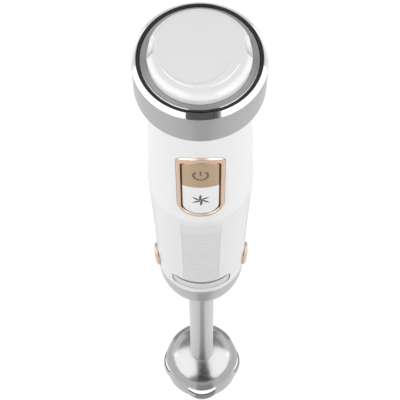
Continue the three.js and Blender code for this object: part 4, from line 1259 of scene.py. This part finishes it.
def make_coupling_neck():
    """The plastic neck that shows when the shaft is off, with a groove for the latches."""
    flange = FERRULE_RADIUS - SHEET - 1.3 * MM
    bottom = low("coupling_neck").z
    top = high("coupling_neck").z
    shaft_bore = 3.2 * MM
    socket = 9.5 * MM
    socket_floor = bottom + 8 * MM
    plug = 14 * MM
    groove = plug - 1.6 * MM
    groove_bottom, groove_top = RELEASE_Z - 3.5 * MM, RELEASE_Z + 3.5 * MM
    outline = rounded([
        (shaft_bore, bottom, 0),
        (flange, bottom, 0.4 * MM),
        (flange, FERRULE_TOP, 0.4 * MM),
        (plug, FERRULE_TOP, 0.3 * MM),
        (plug, groove_bottom, 0.3 * MM),
        (groove, groove_bottom, 0.3 * MM),
        (groove, groove_top, 0.3 * MM),
        (plug, groove_top, 0.3 * MM),
        (plug, top, 1.5 * MM),
        (socket, top, 0.3 * MM),
        (socket, socket_floor, 0),
        (shaft_bore, socket_floor, 0),
    ])
    neck = new_object("neck_plug", turned(outline, 160))
    piece(neck, "blending_shaft", "insulator", INSULATOR, "coupling_neck")


# ---------------- studio


AIM = Vector((0, 0, (cad_low.z + cad_high.z) / 2))
# name, azimuth, elevation, distance, size, radiance and whether shiny surfaces show it
SOFTBOXES = (
    ("key", 66, 34, 1.5, (1.5, 1.5), 1.75, False),
    ("reflector", 70, 38, 1.5, (2.6, 2.4), 1.82, True),
    ("rear_reflector", 125, 4, 1.6, (1.5, 0.8), 0.75, True),
)
CARD_REACH = 1.3
CARD_SPREAD = 0.33  # half width over distance
CARD_TAPER = 0.08  # how much of that the tall card loses overhead
CARD_AZIMUTH = radians(6)
CARD_Z = 2 * MM
FLOOR_Z = cad_low.z - 0.062  # the released shaft stays above it
ROOM_RADIUS = 10.0
ROOM_HEIGHT = 6.0
ROOM_SIDES = 128

CAMERA_PITCH = radians(64)  # below the horizon
CAMERA_ROLL = radians(0.45)
CAMERA_LENS = 130.5  # millimetres, on a 36 mm sensor
CAMERA_PLACE = (-0.4 * MM, -0.3554, COLLAR_EDGE_Z + 0.5796)


def face_object(obj, azimuth, elevation, distance):
    """Places a light square-on to the object. Azimuth 0 is in front, 90 on the right."""
    a, e = radians(azimuth), radians(elevation)
    away = Vector((sin(a) * cos(e), -cos(a) * cos(e), sin(e)))
    obj.location = AIM + away * distance
    obj.rotation_mode = "QUATERNION"
    obj.rotation_quaternion = (-away).to_track_quat("-Z", "Y")


def softbox(name, azimuth, elevation, distance, size, radiance, shiny):
    """An area light of a given brightness, seen in shiny surfaces only or in matt ones only."""
    light = bpy.data.lights.new(name, "AREA")
    light.shape = "RECTANGLE"
    light.size, light.size_y = size
    light.energy = radiance * pi * size[0] * size[1]
    obj = add_object(name, light)
    face_object(obj, azimuth, elevation, distance)
    obj.visible_diffuse = not shiny
    obj.visible_glossy = shiny


def dark_card(name, azimuth, path, half_widths, material):
    """A card round the object that only shows as a dark stripe in its metal."""
    vertices = []
    for (out, z), half in zip(path, half_widths):
        vertices += [Vector((side * half, -out, z)) for side in (-1, 1)]
    faces = [(2 * i, 2 * i + 1, 2 * i + 3, 2 * i + 2) for i in range(len(path) - 1)]
    card = new_object(name, turned_about_z((vertices, faces), azimuth))
    card.data.materials.append(material)
    card.visible_camera = False
    card.visible_diffuse = False
    card.visible_shadow = False


def make_dark_cards():
    """Grey strips at the height of the rim, and a black one that rises over the camera."""
    for name, azimuth, start, end, spread, material in (
        ("near_card", CARD_AZIMUTH, 25 * MM, 130 * MM, CARD_SPREAD, CARD_GREY),
        ("far_card", CARD_AZIMUTH, 130 * MM, 420 * MM, CARD_SPREAD, CARD_PALE),
        ("back_card", pi, 20 * MM, 120 * MM, 1.2, CARD_GREY),
    ):
        distances = steps(start, end, 4)
        path = [(out, CARD_Z) for out in distances]
        dark_card(name, azimuth, path, [spread * out for out in distances], material)

    path, half_widths = [], []
    for degrees in range(-5, 85, 5):
        e = radians(degrees)
        path.append((CARD_REACH * cos(e), AIM.z + CARD_REACH * sin(e)))
        taper = CARD_TAPER * smoothstep((e - 0.5) / 0.9)
        half_widths.append(CARD_REACH * (CARD_SPREAD - taper))
    dark_card("tall_card", CARD_AZIMUTH, path, half_widths, CARD_BLACK)


def make_studio():
    """Even white light all round, the softboxes and cards, the floor and a wall round it."""
    world = bpy.data.worlds.new("studio_world")
    bpy.context.scene.world = world
    world.use_nodes = True
    background = world.node_tree.nodes["Background"]
    background.inputs["Color"].default_value = (1, 1, 1, 1)
    background.inputs["Strength"].default_value = 0.5

    for side, name in ((-1, "left"), (1, "right")):
        for light, azimuth, *rest in SOFTBOXES:
            softbox(f"{name}_{light}", side * azimuth, *rest)
    make_dark_cards()

    rim = circle(ROOM_RADIUS, FLOOR_Z, ROOM_SIDES)
    wall_top = circle(ROOM_RADIUS, ROOM_HEIGHT, ROOM_SIDES)
    floor = new_object("studio_floor", (rim, [tuple(range(ROOM_SIDES))]))
    wall = new_object("studio_wall", loft([rim, wall_top]))
    for stage in (floor, wall):
        stage.data.materials.append(FLOOR_WHITE)
    wall.visible_diffuse = False
    wall.visible_glossy = False
    wall.visible_shadow = False


def make_camera():
    """In front of the object and well above it, looking down."""
    camera = bpy.data.cameras.new("camera")
    camera.sensor_width = 36
    camera.lens = CAMERA_LENS
    obj = add_object("camera", camera)
    obj.location = CAMERA_PLACE
    looking = Vector((0, cos(CAMERA_PITCH), -sin(CAMERA_PITCH)))
    obj.rotation_mode = "QUATERNION"
    roll = Quaternion(looking, CAMERA_ROLL)
    obj.rotation_quaternion = roll @ looking.to_track_quat("-Z", "Y")
    bpy.context.scene.camera = obj


make_camera()
make_studio()
dress_cad_nodes()
make_upper_housing()
make_lower_housing()
make_badge_plate()
make_cord_gland()
make_bezel()
make_power_button()
make_turbo_button()
make_release_buttons()
make_collar()
make_trim_ring()
make_dial_skirt()
make_knob()
make_ferrule()
make_tube()
make_guard()
make_blade()
make_coupling_neck()

bpy.context.scene.view_settings.view_transform = "Standard"
